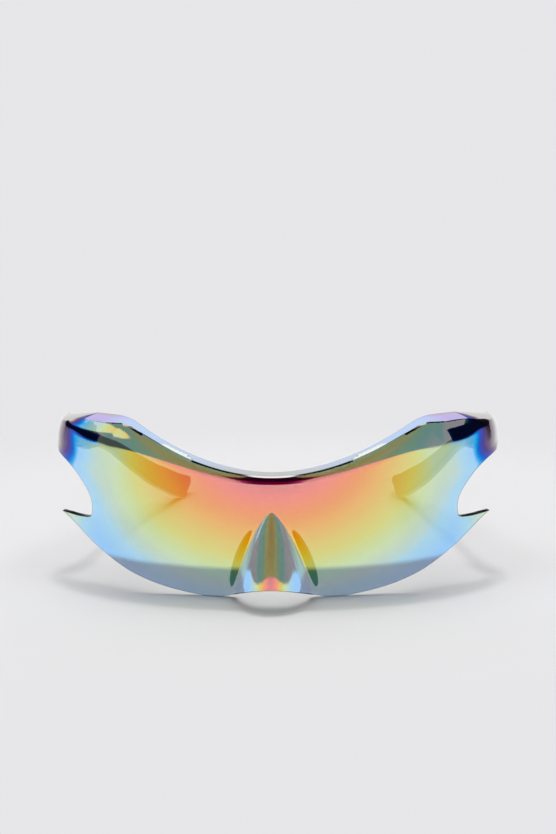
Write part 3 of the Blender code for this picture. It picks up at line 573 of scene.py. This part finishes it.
def inside(points, outline):
    """Which of these points of the net lie inside the closed outline."""
    result = np.zeros(len(points), bool)
    for start, end in zip(outline, np.roll(outline, -1, axis=0)):
        if start[1] == end[1]:
            continue
        crosses = (points[:, 1] < start[1]) != (points[:, 1] < end[1])
        across = start[0] + (points[:, 1] - start[1]) * (end[0] - start[0]) / (end[1] - start[1])
        result ^= crosses & (points[:, 0] < across)
    return result


def line_distance(points, line):
    """How far each point lies from the line."""
    nearest = np.full(len(points), HALF_WIDTH)
    for start, end in zip(line, line[1:]):
        along = end - start
        length = max(float(along @ along), LEAST_SQUARED_LENGTH)
        share = np.clip((points - start) @ along / length, 0.0, 1.0)
        nearest = np.minimum(nearest, np.linalg.norm(points - start - share[:, None] * along, axis=1))
    return nearest


def as_array(places):
    """The places on the flat net, as the rows of an array."""
    return np.array([tuple(to_net(place)) for place in places])


def inner_places(outline, crease):
    """Places of the net inside the outline, clear of its edge and of the crease."""
    places = []
    for turn in net_turns():
        for rise in net_rises(turn)[:-1]:
            if rise >= BEAK_TOP or turn >= beak_turn(beak_half_width(rise)):
                places.append((turn, rise))
    points = as_array(places)
    edge = as_array(outline + outline[:1])
    keep = inside(points, edge[:-1])
    keep &= line_distance(points, edge) > NET_CLEARANCE
    keep &= line_distance(points, as_array(crease)) > CREASE_CLEARANCE
    places = [place for place, kept in zip(places, keep) if kept]
    beak = []
    for across in beak_columns()[1:-1]:
        beak += beak_points(across)[:-1]
    keep = line_distance(as_array(beak), edge) > 0.5 * CREASE_CLEARANCE
    return places + [place for place, kept in zip(beak, keep) if kept]


def edge_rounding(outline, crease):
    """Radius and inward direction of the rounded rim at each place of the outline."""
    points = as_array(outline)
    ahead = np.roll(points, -1, axis=0) - points
    behind = points - np.roll(points, 1, axis=0)
    ahead /= np.linalg.norm(ahead, axis=1)[:, None]
    behind /= np.linalg.norm(behind, axis=1)[:, None]
    along = ahead + behind
    along /= np.linalg.norm(along, axis=1)[:, None]
    inward = np.stack([-along[:, 1], along[:, 0]], axis=1)
    stretch = 1.0 / np.maximum(np.abs((along * ahead).sum(axis=1)), RIM_CORNER_SHARE)
    fin_tip = as_array([from_shares(LOWER_EDGE_SHARES)[-1]] * 2)
    clear = CREASE_CLEARANCE_SHARE * line_distance(points, as_array(crease))
    clear = np.minimum(clear, TIP_CLEARANCE_SHARE * line_distance(points, fin_tip))
    radius = np.clip(clear, RIM_LEAST_RADIUS, RIM_RADIUS)
    inward *= stretch[:, None]
    foot = nearest_index(outline, crease[0])
    rise = outline[foot][1] + RIM_LEAST_RADIUS
    raised = to_net((beak_turn(beak_half_width(rise)), rise))
    inward[foot] = (raised - to_net(outline[foot])) / RIM_LEAST_RADIUS
    return radius, inward


def surface_normal(place, depth):
    """Outward normal of the shield's surface at this place of the net."""
    turn, rise = place
    turned = shield_point(turn + PROBE_TURN, rise, depth) - shield_point(turn - PROBE_TURN, rise, depth)
    risen = shield_point(turn, rise + PROBE_RISE, depth) - shield_point(turn, rise - PROBE_RISE, depth)
    return turned.cross(risen).normalized()


def faired(place, normal):
    """The normal that the brow is shaded with: the lens stays upright for longer and then rolls faster."""
    tilt = degrees(asin(min(max(normal.z, -1.0), 1.0)))
    less = FAIR_TILT * ease(tilt, *FAIR_RISE_TILTS) * (1.0 - ease(tilt, *FAIR_FALL_TILTS))
    less *= ease(place[1], *FAIR_RISES)
    if less == 0.0:
        return normal
    level = Vector((normal.x, normal.y, 0.0)).normalized()
    upright = radians(tilt - less)
    return level * cos(upright) + Vector((0.0, 0.0, sin(upright)))


def strip_phase(turn, tilt):
    """The film's colours along the brow's shelf: grey in the middle, blue to lilac, duller at the ends."""
    across = mix(STRIP_LOW_SHARE, 1.0, ease(tilt, degrees(STRIP_TILT), degrees(ROLL_END)))
    out = ease(turn, 0.0, STRIP_FULL_TURN)
    return STRIP_PHASE + STRIP_RUN * across * out + STRIP_DULL_RUN * ease(turn, *STRIP_DULL_TURNS)


def painted_glint(turn):
    """How far the painted dark line under the shelf has spread into a painted glint."""
    return ease(turn, *PAINTED_GLINT_IN_TURNS) * (1.0 - ease(turn, *PAINTED_GLINT_OUT_TURNS))


def painted_line_phase(turn):
    """The painted dark shade line under the shelf, with a painted highlight in the middle."""
    return mix(PAINTED_HIGHLIGHT_PHASE, PAINTED_DARK_LINE_PHASE, ease(turn, *PAINTED_HIGHLIGHT_MIDDLE_TURNS))


def film_phase_and_painted_light(place, normal, side):
    """How far the mirror film's colour has run, from the middle of the face out to its ends. The same phase
    places the painted shade lines, highlight, glints and shade patch on the brow.
    """
    turn = degrees(atan2(HALF_WIDTH * abs(normal.x), -PLAN_DEPTH * normal.y))
    tilt = degrees(asin(min(max(normal.z, -1.0), 1.0)))
    out = degrees(place[0])
    shift = PAINTED_GLINT_SPREAD * painted_glint(out) - STRIP_DROP * ease(out, *STRIP_DROP_TURNS)
    if out < STRIP_LAST_TURN and place[1] > rise_at_tilt(place[0], STRIP_TILT + radians(shift)):
        return strip_phase(out, tilt) / FILM_SPAN
    # Painted glint: a near-white mirror colour where the line under the shelf spreads
    if shift > 0.0 and place[1] > rise_at_tilt(place[0], STRIP_TILT):
        return PAINTED_HIGHLIGHT_PHASE / FILM_SPAN
    # Painted dark shade line under the shelf, with its painted highlight in the middle
    if out < PAINTED_DARK_LINE_LAST and place[1] > rise_at_tilt(place[0], LINE_TILT):
        return painted_line_phase(out) / FILM_SPAN
    # Painted grey shade line further out along the shelf
    if PAINTED_GREY_SHADE_TURNS[0] < out < PAINTED_GREY_SHADE_TURNS[1] and place[1] > rise_at_tilt(place[0], LINE_TILT):
        return PAINTED_GREY_SHADE_PHASE / FILM_SPAN
    phase = sqrt(turn ** 2 + FILM_TILT_WEIGHT * (tilt - FILM_TILT) ** 2)
    # Painted shade: the middle of the brow's roll is pulled to phase 0, which mirrors dark magenta and lets
    # almost nothing through
    if place[1] > roll_start(place[0])[0]:
        phase *= ease(out, *MIDDLE_ROLL_TURNS)
    run = float(np.interp(phase, *zip(*CORNER_RUN)))
    run += CORNER_EXTRA * ease(out, *CORNER_EXTRA_TURNS) * ease(tilt, *CORNER_EXTRA_TILTS)
    run += CARD_EXTRA * ease(out, *CARD_EXTRA_TURNS) * ease(tilt, *CARD_EXTRA_TILTS)
    phase += run * ease(place[1], *CORNER_RISES)
    # Painted shade: a dark patch in the upper corners
    painted_shade = ease(out, *PAINTED_SHADE_PATCH_TURNS) * ease(tilt, *PAINTED_SHADE_PATCH_LOW_TILTS)
    painted_shade *= 1.0 - ease(tilt, *PAINTED_SHADE_PATCH_HIGH_TILTS[side])
    if place[1] > CORNER_RISES[0] and phase < PAINTED_SHADE_PATCH_PHASE:
        phase = mix(phase, PAINTED_SHADE_PATCH_PHASE, painted_shade)
    return min(phase, mix(FACE_LAST, FILM_LAST, ease(place[1], *CORNER_RISES))) / FILM_SPAN


def toward(place, centre):
    """A place a little way in from a face's corner towards its middle."""
    return (mix(place[0], centre[0], CORNER_SHARE), mix(place[1], centre[1], CORNER_SHARE))


def keep_to_middle(outline, radius, inward):
    """Let the rim's places on the middle plane move only along it, and say which these are."""
    count = len(outline)
    on_middle = [place[0] == 0.0 for place in outline]
    for index in range(count):
        if not on_middle[index]:
            continue
        inward[index][0] = 0.0
        if on_middle[index - 1] and on_middle[(index + 1) % count]:
            radius[index] = 0.0
        else:
            inward[index][1] = 1.0 if outline[index][1] < BEAK_TOP else -1.0
    return on_middle


def rim_places(outline, radius, inward, share):
    """The outline's places, moved inwards by this share of the rim's radius."""
    moved = []
    for (turn, rise), reach, way in zip(outline, radius, inward):
        shift = reach * share
        moved.append((turn + way[0] * shift / NET_SCALE, rise + way[1] * shift))
    return moved


def shield_net(outline, border, crease):
    """The net's places, the border's first, and the triangles between them, with the crease as an edge."""
    count = len(border)
    places = border + crease[1:-1] + inner_places(border, crease)
    foot = nearest_index(outline, crease[0])
    tip = nearest_index(outline, (0.0, BEAK_TOP))
    chain = [foot] + [count + step for step in range(len(crease) - 2)] + [tip]
    _, _, faces, sources, _, _ = delaunay_2d_cdt(
        [to_net(place) for place in places], list(zip(chain, chain[1:])), [list(range(count))],
        NET_INSIDE_ONLY, NET_TOLERANCE)
    return places, [tuple(sources[corner][0] for corner in face) for face in faces]


def shield_points(places, outline, radius, inward):
    """Points of both skins and of the rim, where each skin starts, and the rim's rings, outermost first."""
    count = len(outline)
    points = []
    starts = []
    for depth in (0.0, WALL):
        starts.append(len(points))
        points += [shield_point(turn, rise, depth) for turn, rise in places]
    quarter = [0.5 * pi * step / RIM_STEPS for step in range(RIM_STEPS + 1)]
    outer = [(1.0 - sin(angle), 0.0, 1.0 - cos(angle)) for angle in quarter[1:]]
    inner = [(1.0 - cos(angle), WALL, sin(angle) - 1.0) for angle in quarter[:-1]]
    rings = [list(range(starts[0], starts[0] + count))]
    for share, level, sunk in outer + inner:
        rings.append(list(range(len(points), len(points) + count)))
        for (turn, rise), reach in zip(rim_places(outline, radius, inward, share), radius):
            points.append(shield_point(turn, rise, level + sunk * reach))
    rings.append(list(range(starts[1], starts[1] + count)))
    return points, starts, rings


def skin_faces(places, triangles, start, depth, slot):
    """One skin's faces. Each corner has its shading normal and the film's phase on either half."""
    faces = []
    for triangle in triangles:
        centre = [sum(places[corner][axis] for corner in triangle) / len(triangle) for axis in (0, 1)]
        spots = [toward(places[corner], centre) for corner in triangle]
        corners = [start + corner for corner in triangle]
        outer = [surface_normal(spot, 0.0) for spot in spots]
        skin = [surface_normal(spot, depth) for spot in spots] if depth else outer
        normals = [faired(spot, normal) for spot, normal in zip(spots, skin)]
        phases, twins = [
            [film_phase_and_painted_light(spot, normal, side) for spot, normal in zip(spots, outer)] for side in (1.0, -1.0)]
        if depth:
            for values in (corners, normals, phases, twins):
                values.reverse()
            normals = [-normal for normal in normals]
        faces.append(Face(tuple(corners), slot, normals, phases, twins))
    return faces


def rim_faces(rings, on_middle):
    """The rounded rim's faces between its rings, left open where the two halves meet."""
    count = len(on_middle)
    faces = []
    for low, high in zip(rings, rings[1:]):
        for index in range(count):
            across = (index + 1) % count
            if on_middle[index] and on_middle[across]:
                continue
            corners = (low[index], high[index], high[across], low[across])
            plain = [0.0] * len(corners)
            faces.append(Face(corners, RIM_SLOT, [Vector()] * len(corners), plain, plain))
    return faces


def both_halves(points, faces):
    """The points and faces of the +X half, followed by those of its mirror image."""
    count = len(points)
    twin = []
    for index, point in enumerate(points):
        on_seam = abs(point.x) < SEAM_WIDTH
        twin.append(index if on_seam else count + index)
        if on_seam:
            point.x = 0.0
    mirrored = [Vector((-point.x, point.y, point.z)) for point in points]
    others = []
    for face in faces:
        corners = tuple(twin[corner] for corner in reversed(face.corners))
        normals = [Vector((-normal.x, normal.y, normal.z)) for normal in reversed(face.normals)]
        others.append(Face(corners, face.slot, normals, face.twins[::-1], face.phases[::-1]))
    return points + mirrored, faces + others


def shield_mesh(points, faces, looks):
    """The mesh of the points in use, moved to the frame's origin, with its shading and film phases."""
    used = sorted({corner for face in faces for corner in face.corners})
    place_of = {corner: index for index, corner in enumerate(used)}
    shift = Vector((0.0, ORIGIN_SHIFT, 0.0))
    mesh = bpy.data.meshes.new("mirror_shield")
    mesh.from_pydata([points[corner] + shift for corner in used], [],
                     [tuple(place_of[corner] for corner in face.corners) for face in faces])
    for look in looks:
        mesh.materials.append(look)
    mesh.polygons.foreach_set("material_index", [face.slot for face in faces])
    mesh.polygons.foreach_set("use_smooth", [True] * len(faces))
    phase = mesh.attributes.new("film_phase_and_painted_light", "FLOAT", "CORNER")
    phase.data.foreach_set("value", [value for face in faces for value in face.phases])
    mesh.normals_split_custom_set([tuple(normal) for face in faces for normal in face.normals])
    return mesh


def shield_piece(looks):
    """The moulded shield: both skins from one net, a rounded rim between them, and both halves."""
    outline = half_outline()
    crease = beak_crease()
    radius, inward = edge_rounding(outline, crease)
    on_middle = keep_to_middle(outline, radius, inward)
    places, triangles = shield_net(outline, rim_places(outline, radius, inward, 1.0), crease)
    points, starts, rings = shield_points(places, outline, radius, inward)
    faces = skin_faces(places, triangles, starts[0], 0.0, FILM_SLOT)
    faces += skin_faces(places, triangles, starts[1], WALL, INNER_SLOT)
    faces += rim_faces(rings, on_middle)
    points, faces = both_halves(points, faces)
    shield = bpy.data.objects.new("mirror_shield", shield_mesh(points, faces, looks))
    bpy.context.scene.collection.objects.link(shield)
    return shield


# Looks

def new_look(name):
    """An empty material, with its nodes and links."""
    look = bpy.data.materials.new(name)
    look.use_nodes = True
    look.node_tree.nodes.clear()
    return look, look.node_tree.nodes, look.node_tree.links


def add_node(nodes, kind, values=None, operation=None):
    """A shader node of this kind, with its operation and the values of its inputs, by name or number."""
    node = nodes.new("ShaderNode" + kind)
    if operation:
        node.operation = operation
    for name, value in (values or {}).items():
        node.inputs[name].default_value = value
    return node


def add_range(nodes, source, target=(0.0, 1.0), smooth=True):
    """A node that maps the source's pair of values to the target's pair."""
    node = add_node(nodes, "MapRange", {"From Min": source[0], "From Max": source[1],
                                        "To Min": target[0], "To Max": target[1]})
    node.interpolation_type = "SMOOTHSTEP" if smooth else "LINEAR"
    return node


def add_ramp(nodes, stops):
    """A colour ramp over the film's phases."""
    ramp = add_node(nodes, "ValToRGB")
    elements = ramp.color_ramp.elements
    while len(elements) < len(stops):
        elements.new(1.0)
    for element, (phase, colour) in zip(elements, stops):
        element.position = phase / FILM_SPAN
        element.color = (*colour, 1.0)
    return ramp


def add_blend(nodes, links, first, second, output="OutputMaterial"):
    """Mix two shaders into the output, and give the socket for the second one's share."""
    blend = add_node(nodes, "MixShader")
    links.new(first.outputs[0], blend.inputs[1])
    links.new(second.outputs[0], blend.inputs[2])
    links.new(blend.outputs[0], add_node(nodes, output).inputs["Surface"])
    return blend.inputs[0]


def film_share(phase):
    """How much of the film mirrors at this phase. The rest lets light through."""
    low, high = FILM_COVER_PHASES
    return mix(FILM_SHARE, 1.0, min(max((phase - low) / (high - low), 0.0), 1.0))


def film_look():
    """The thin mirror film: what it reflects and what it lets through both run with its phase, which also
    carries the painted shade and highlights.
    """
    look, nodes, links = new_look("mirror_film")
    reflected = add_ramp(nodes, [
        (phase, [min(value / film_share(phase), 1.0) for value in colour]) for phase, colour in FILM_MIRROR])
    through = add_ramp(nodes, [
        (phase, [min(value / (1.0 - FILM_SHARE), 1.0) for value in colour]) for phase, colour in FILM_PASSED])
    clear = add_node(nodes, "BsdfTransparent")
    shine = add_node(nodes, "BsdfPrincipled", {"Metallic": 1.0, "Roughness": FILM_ROUGHNESS})
    cover = add_range(nodes, [phase / FILM_SPAN for phase in FILM_COVER_PHASES], (FILM_SHARE, 1.0), False)
    phase = add_node(nodes, "Attribute")
    phase.attribute_name = "film_phase_and_painted_light"
    links.new(phase.outputs["Fac"], cover.inputs["Value"])
    links.new(phase.outputs["Fac"], reflected.inputs["Fac"])
    links.new(phase.outputs["Fac"], through.inputs["Fac"])
    links.new(reflected.outputs["Color"], shine.inputs["Base Color"])
    links.new(through.outputs["Color"], clear.inputs["Color"])
    links.new(cover.outputs["Result"], add_blend(nodes, links, clear, shine))
    return look


def inner_look():
    """The bare inner face: clear, with a faint gloss."""
    look, nodes, links = new_look("clear_inner_face")
    clear = add_node(nodes, "BsdfTransparent")
    shine = add_node(nodes, "BsdfPrincipled", {"Base Color": (*INNER_COLOUR, 1.0),
                                               "Roughness": INNER_ROUGHNESS})
    add_blend(nodes, links, clear, shine).default_value = INNER_SHARE
    return look


def rim_look():
    """The polished rim: dark seen from outside, clear where it is seen through the shield."""
    look, nodes, links = new_look("shield_rim")
    clear = add_node(nodes, "BsdfTransparent")
    shine = add_node(nodes, "BsdfPrincipled", {"Base Color": (*RIM_COLOUR, 1.0),
                                               "Roughness": RIM_ROUGHNESS})
    facing = add_node(nodes, "NewGeometry")
    links.new(facing.outputs["Backfacing"], add_blend(nodes, links, shine, clear))
    return look


def plain_look(name, colour, roughness, metallic, bump, grain):
    """A moulded or machined surface with fine grain in its gloss, colour and relief."""
    look, nodes, links = new_look(name)
    lighter = [min(value * GRAIN_TINT + GRAIN_TINT_LIFT, 1.0) for value in colour]
    place = add_node(nodes, "TexCoord")
    noise = add_node(nodes, "TexNoise", {"Scale": grain, "Detail": GRAIN_DETAIL})
    gloss = add_range(nodes, (0.0, 1.0), [roughness * share for share in GRAIN_GLOSS], False)
    tint = add_node(nodes, "MixRGB", {"Color1": (*colour, 1.0), "Color2": (*lighter, 1.0)})
    relief = add_node(nodes, "Bump", {"Strength": bump, "Distance": GRAIN_DEPTH})
    shine = add_node(nodes, "BsdfPrincipled", {"Metallic": metallic})
    links.new(place.outputs["Object"], noise.inputs["Vector"])
    links.new(noise.outputs["Fac"], gloss.inputs["Value"])
    links.new(noise.outputs["Fac"], tint.inputs["Fac"])
    links.new(noise.outputs["Fac"], relief.inputs["Height"])
    links.new(gloss.outputs["Result"], shine.inputs["Roughness"])
    links.new(tint.outputs["Color"], shine.inputs["Base Color"])
    links.new(relief.outputs["Normal"], shine.inputs["Normal"])
    links.new(shine.outputs[0], add_node(nodes, "OutputMaterial").inputs["Surface"])
    return look


# Studio

def floor_look():
    """Matt near the object, of one even tone further off, and white in reflections but for a painted shadow
    under the shield.
    """
    look, nodes, links = new_look("pale_floor")
    place = add_node(nodes, "NewGeometry")
    light = add_node(nodes, "LightPath")
    away = add_node(nodes, "VectorMath", {1: PAINTED_SHADOW_CENTRE}, "SUBTRACT")
    squeezed = add_node(nodes, "VectorMath", {1: PAINTED_SHADOW_SHARPNESS}, "MULTIPLY")
    ring = add_node(nodes, "VectorMath", operation="LENGTH")
    edge = add_range(nodes, PAINTED_SHADOW_EDGE)
    # Painted shadow: glossy rays see this dark oval under the shield instead of the white floor
    foot = add_node(nodes, "MixRGB", {"Color1": (*PAINTED_SHADOW_MIRRORED, 1.0), "Color2": (*FLOOR_REFLECTED, 1.0)})
    tone = add_node(nodes, "MixRGB", {"Color1": (*FLOOR_FAR, 1.0)})
    reach = add_node(nodes, "VectorMath", operation="LENGTH")
    far = add_range(nodes, FLOOR_FADE)
    seen = add_node(nodes, "Math", operation="MULTIPLY")
    share = add_node(nodes, "Math", operation="MAXIMUM")
    matt = add_node(nodes, "BsdfDiffuse", {"Color": (*FLOOR_COLOUR, 1.0)})
    glow = add_node(nodes, "Emission")
    links.new(place.outputs["Position"], away.inputs[0])
    links.new(away.outputs["Vector"], squeezed.inputs[0])
    links.new(squeezed.outputs["Vector"], ring.inputs[0])
    links.new(ring.outputs["Value"], edge.inputs["Value"])
    links.new(edge.outputs["Result"], foot.inputs["Fac"])
    links.new(foot.outputs["Color"], tone.inputs["Color2"])
    links.new(light.outputs["Is Glossy Ray"], tone.inputs["Fac"])
    links.new(tone.outputs["Color"], glow.inputs["Color"])
    links.new(place.outputs["Position"], reach.inputs[0])
    links.new(reach.outputs["Value"], far.inputs["Value"])
    links.new(far.outputs["Result"], seen.inputs[0])
    links.new(light.outputs["Is Camera Ray"], seen.inputs[1])
    links.new(seen.outputs[0], share.inputs[0])
    links.new(light.outputs["Is Glossy Ray"], share.inputs[1])
    links.new(share.outputs[0], add_blend(nodes, links, matt, glow))
    return look


def add_floor():
    """A pale sweep: a flat floor that curves up into the backdrop."""
    line = [(-FLOOR_FRONT, 0.0), (FLOOR_BACK, 0.0)]
    for step in range(1, SWEEP_STEPS + 1):
        angle = 0.5 * pi * step / SWEEP_STEPS
        line.append((FLOOR_BACK + SWEEP_RADIUS * sin(angle), SWEEP_RADIUS * (1.0 - cos(angle))))
    line.append((FLOOR_BACK + SWEEP_RADIUS, BACKDROP_HEIGHT))
    points = [Vector((side * FLOOR_HALF_WIDTH, y, z)) for y, z in line for side in (-1.0, 1.0)]
    faces = [(2 * row, 2 * row + 1, 2 * row + 3, 2 * row + 2) for row in range(len(line) - 1)]
    mesh = bpy.data.meshes.new("floor")
    mesh.from_pydata(points, [], faces)
    mesh.polygons.foreach_set("use_smooth", [True] * len(faces))
    mesh.materials.append(floor_look())
    floor = bpy.data.objects.new("floor", mesh)
    bpy.context.scene.collection.objects.link(floor)


def add_world():
    """White surroundings up to a low height, lower at the back, under a dark ceiling with one white card."""
    world = bpy.data.worlds.new("studio")
    bpy.context.scene.world = world
    world.use_nodes = True
    nodes, links = world.node_tree.nodes, world.node_tree.links
    nodes.clear()
    place = add_node(nodes, "TexCoord")
    light = add_node(nodes, "LightPath")
    split = add_node(nodes, "SeparateXYZ")
    square = add_node(nodes, "Math", operation="MULTIPLY")
    raised = add_node(nodes, "Math", {1: WORLD_SIDE_DROP}, "MULTIPLY_ADD")
    ceiling = add_range(nodes, WORLD_TURN, (WORLD_FRONT_HEIGHT, WORLD_BACK_HEIGHT))
    above = add_node(nodes, "Math", operation="SUBTRACT")
    edge = add_range(nodes, (-WORLD_EDGE, WORLD_EDGE), (1.0, WORLD_DARK))
    apart = add_node(nodes, "VectorMath", {1: CARD_PLACE}, "DISTANCE")
    card = add_range(nodes, CARD_REACH, (1.0, 0.0))
    reflected = add_node(nodes, "Math", operation="MULTIPLY")
    level = add_node(nodes, "Math", operation="MAXIMUM")
    glow = add_node(nodes, "Background", {"Color": (1.0, 1.0, 1.0, 1.0)})
    pale = add_node(nodes, "Background", {"Color": (*FLOOR_FAR, 1.0)})
    links.new(place.outputs["Generated"], split.inputs[0])
    links.new(split.outputs["X"], square.inputs[0])
    links.new(split.outputs["X"], square.inputs[1])
    links.new(square.outputs[0], raised.inputs[0])
    links.new(split.outputs["Z"], raised.inputs[2])
    links.new(split.outputs["Y"], ceiling.inputs["Value"])
    links.new(raised.outputs[0], above.inputs[0])
    links.new(ceiling.outputs["Result"], above.inputs[1])
    links.new(above.outputs[0], edge.inputs["Value"])
    links.new(place.outputs["Generated"], apart.inputs[0])
    links.new(apart.outputs["Value"], card.inputs["Value"])
    links.new(card.outputs["Result"], reflected.inputs[0])
    links.new(light.outputs["Is Glossy Ray"], reflected.inputs[1])
    links.new(edge.outputs["Result"], level.inputs[0])
    links.new(reflected.outputs[0], level.inputs[1])
    links.new(level.outputs[0], glow.inputs["Strength"])
    links.new(light.outputs["Is Camera Ray"], add_blend(nodes, links, glow, pale, "OutputWorld"))


def add_lamp(name, place, size, power):
    """A soft lamp that points at the object and leaves no shape of its own in reflections."""
    light = bpy.data.lights.new(name, "AREA")
    light.shape = "RECTANGLE"
    light.size, light.size_y = size
    light.energy = power
    lamp = bpy.data.objects.new(name, light)
    bpy.context.scene.collection.objects.link(lamp)
    lamp.location = place
    lamp.visible_glossy = False
    lamp.rotation_euler = (-Vector(place)).to_track_quat("-Z", "Y").to_euler()


def add_camera():
    """The photograph's camera, solved from it: in front, a little above, and seen through a long lens."""
    scene = bpy.context.scene
    data = bpy.data.cameras.new("camera")
    data.sensor_fit = "VERTICAL"
    data.sensor_height = SENSOR
    data.lens = LENS
    data.clip_start = CAMERA_CLIP
    camera = bpy.data.objects.new("camera", data)
    scene.collection.objects.link(camera)
    turn = Matrix.Rotation(CAMERA_YAW, 4, "Z") @ Matrix.Rotation(0.5 * pi - CAMERA_PITCH, 4, "X")
    turn = turn @ Matrix.Rotation(-CAMERA_ROLL, 4, "Z")
    camera.matrix_world = Matrix.Translation(CAMERA_PLACE) @ turn
    scene.camera = camera


def add_studio():
    """Camera, floor, surroundings and lamps."""
    bpy.context.scene.view_settings.view_transform = "Standard"
    add_camera()
    add_floor()
    add_world()
    add_lamp("overhead", LAMP_PLACE, LAMP_SIZE, LAMP_POWER)
    add_lamp("fill", FILL_PLACE, FILL_SIZE, FILL_POWER)


def dress_part(frame):
    """Put the finer shield in the plain one's place, and give every other piece its look."""
    shield = shield_piece([film_look(), inner_look(), rim_look()])
    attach(shield, "front")
    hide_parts("shield_lens")
    looks = {slot: plain_look(*values) for slot, values in PLAIN_LOOKS.items()}
    slot_of = {part["node"]: part["material_slot"] for part in frame["record"]["subparts"]}
    for name, node in frame["nodes"].items():
        if name != "shield_lens":
            node.data.materials.clear()
            node.data.materials.append(looks[slot_of[name]])


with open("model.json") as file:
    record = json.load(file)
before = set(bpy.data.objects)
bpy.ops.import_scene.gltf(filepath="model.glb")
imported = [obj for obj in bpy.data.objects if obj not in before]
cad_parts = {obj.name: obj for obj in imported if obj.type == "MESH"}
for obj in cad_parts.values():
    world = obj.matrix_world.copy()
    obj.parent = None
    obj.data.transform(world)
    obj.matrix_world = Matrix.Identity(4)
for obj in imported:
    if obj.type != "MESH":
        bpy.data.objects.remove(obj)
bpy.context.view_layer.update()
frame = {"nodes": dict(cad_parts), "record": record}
add_studio()
dress_part(frame)
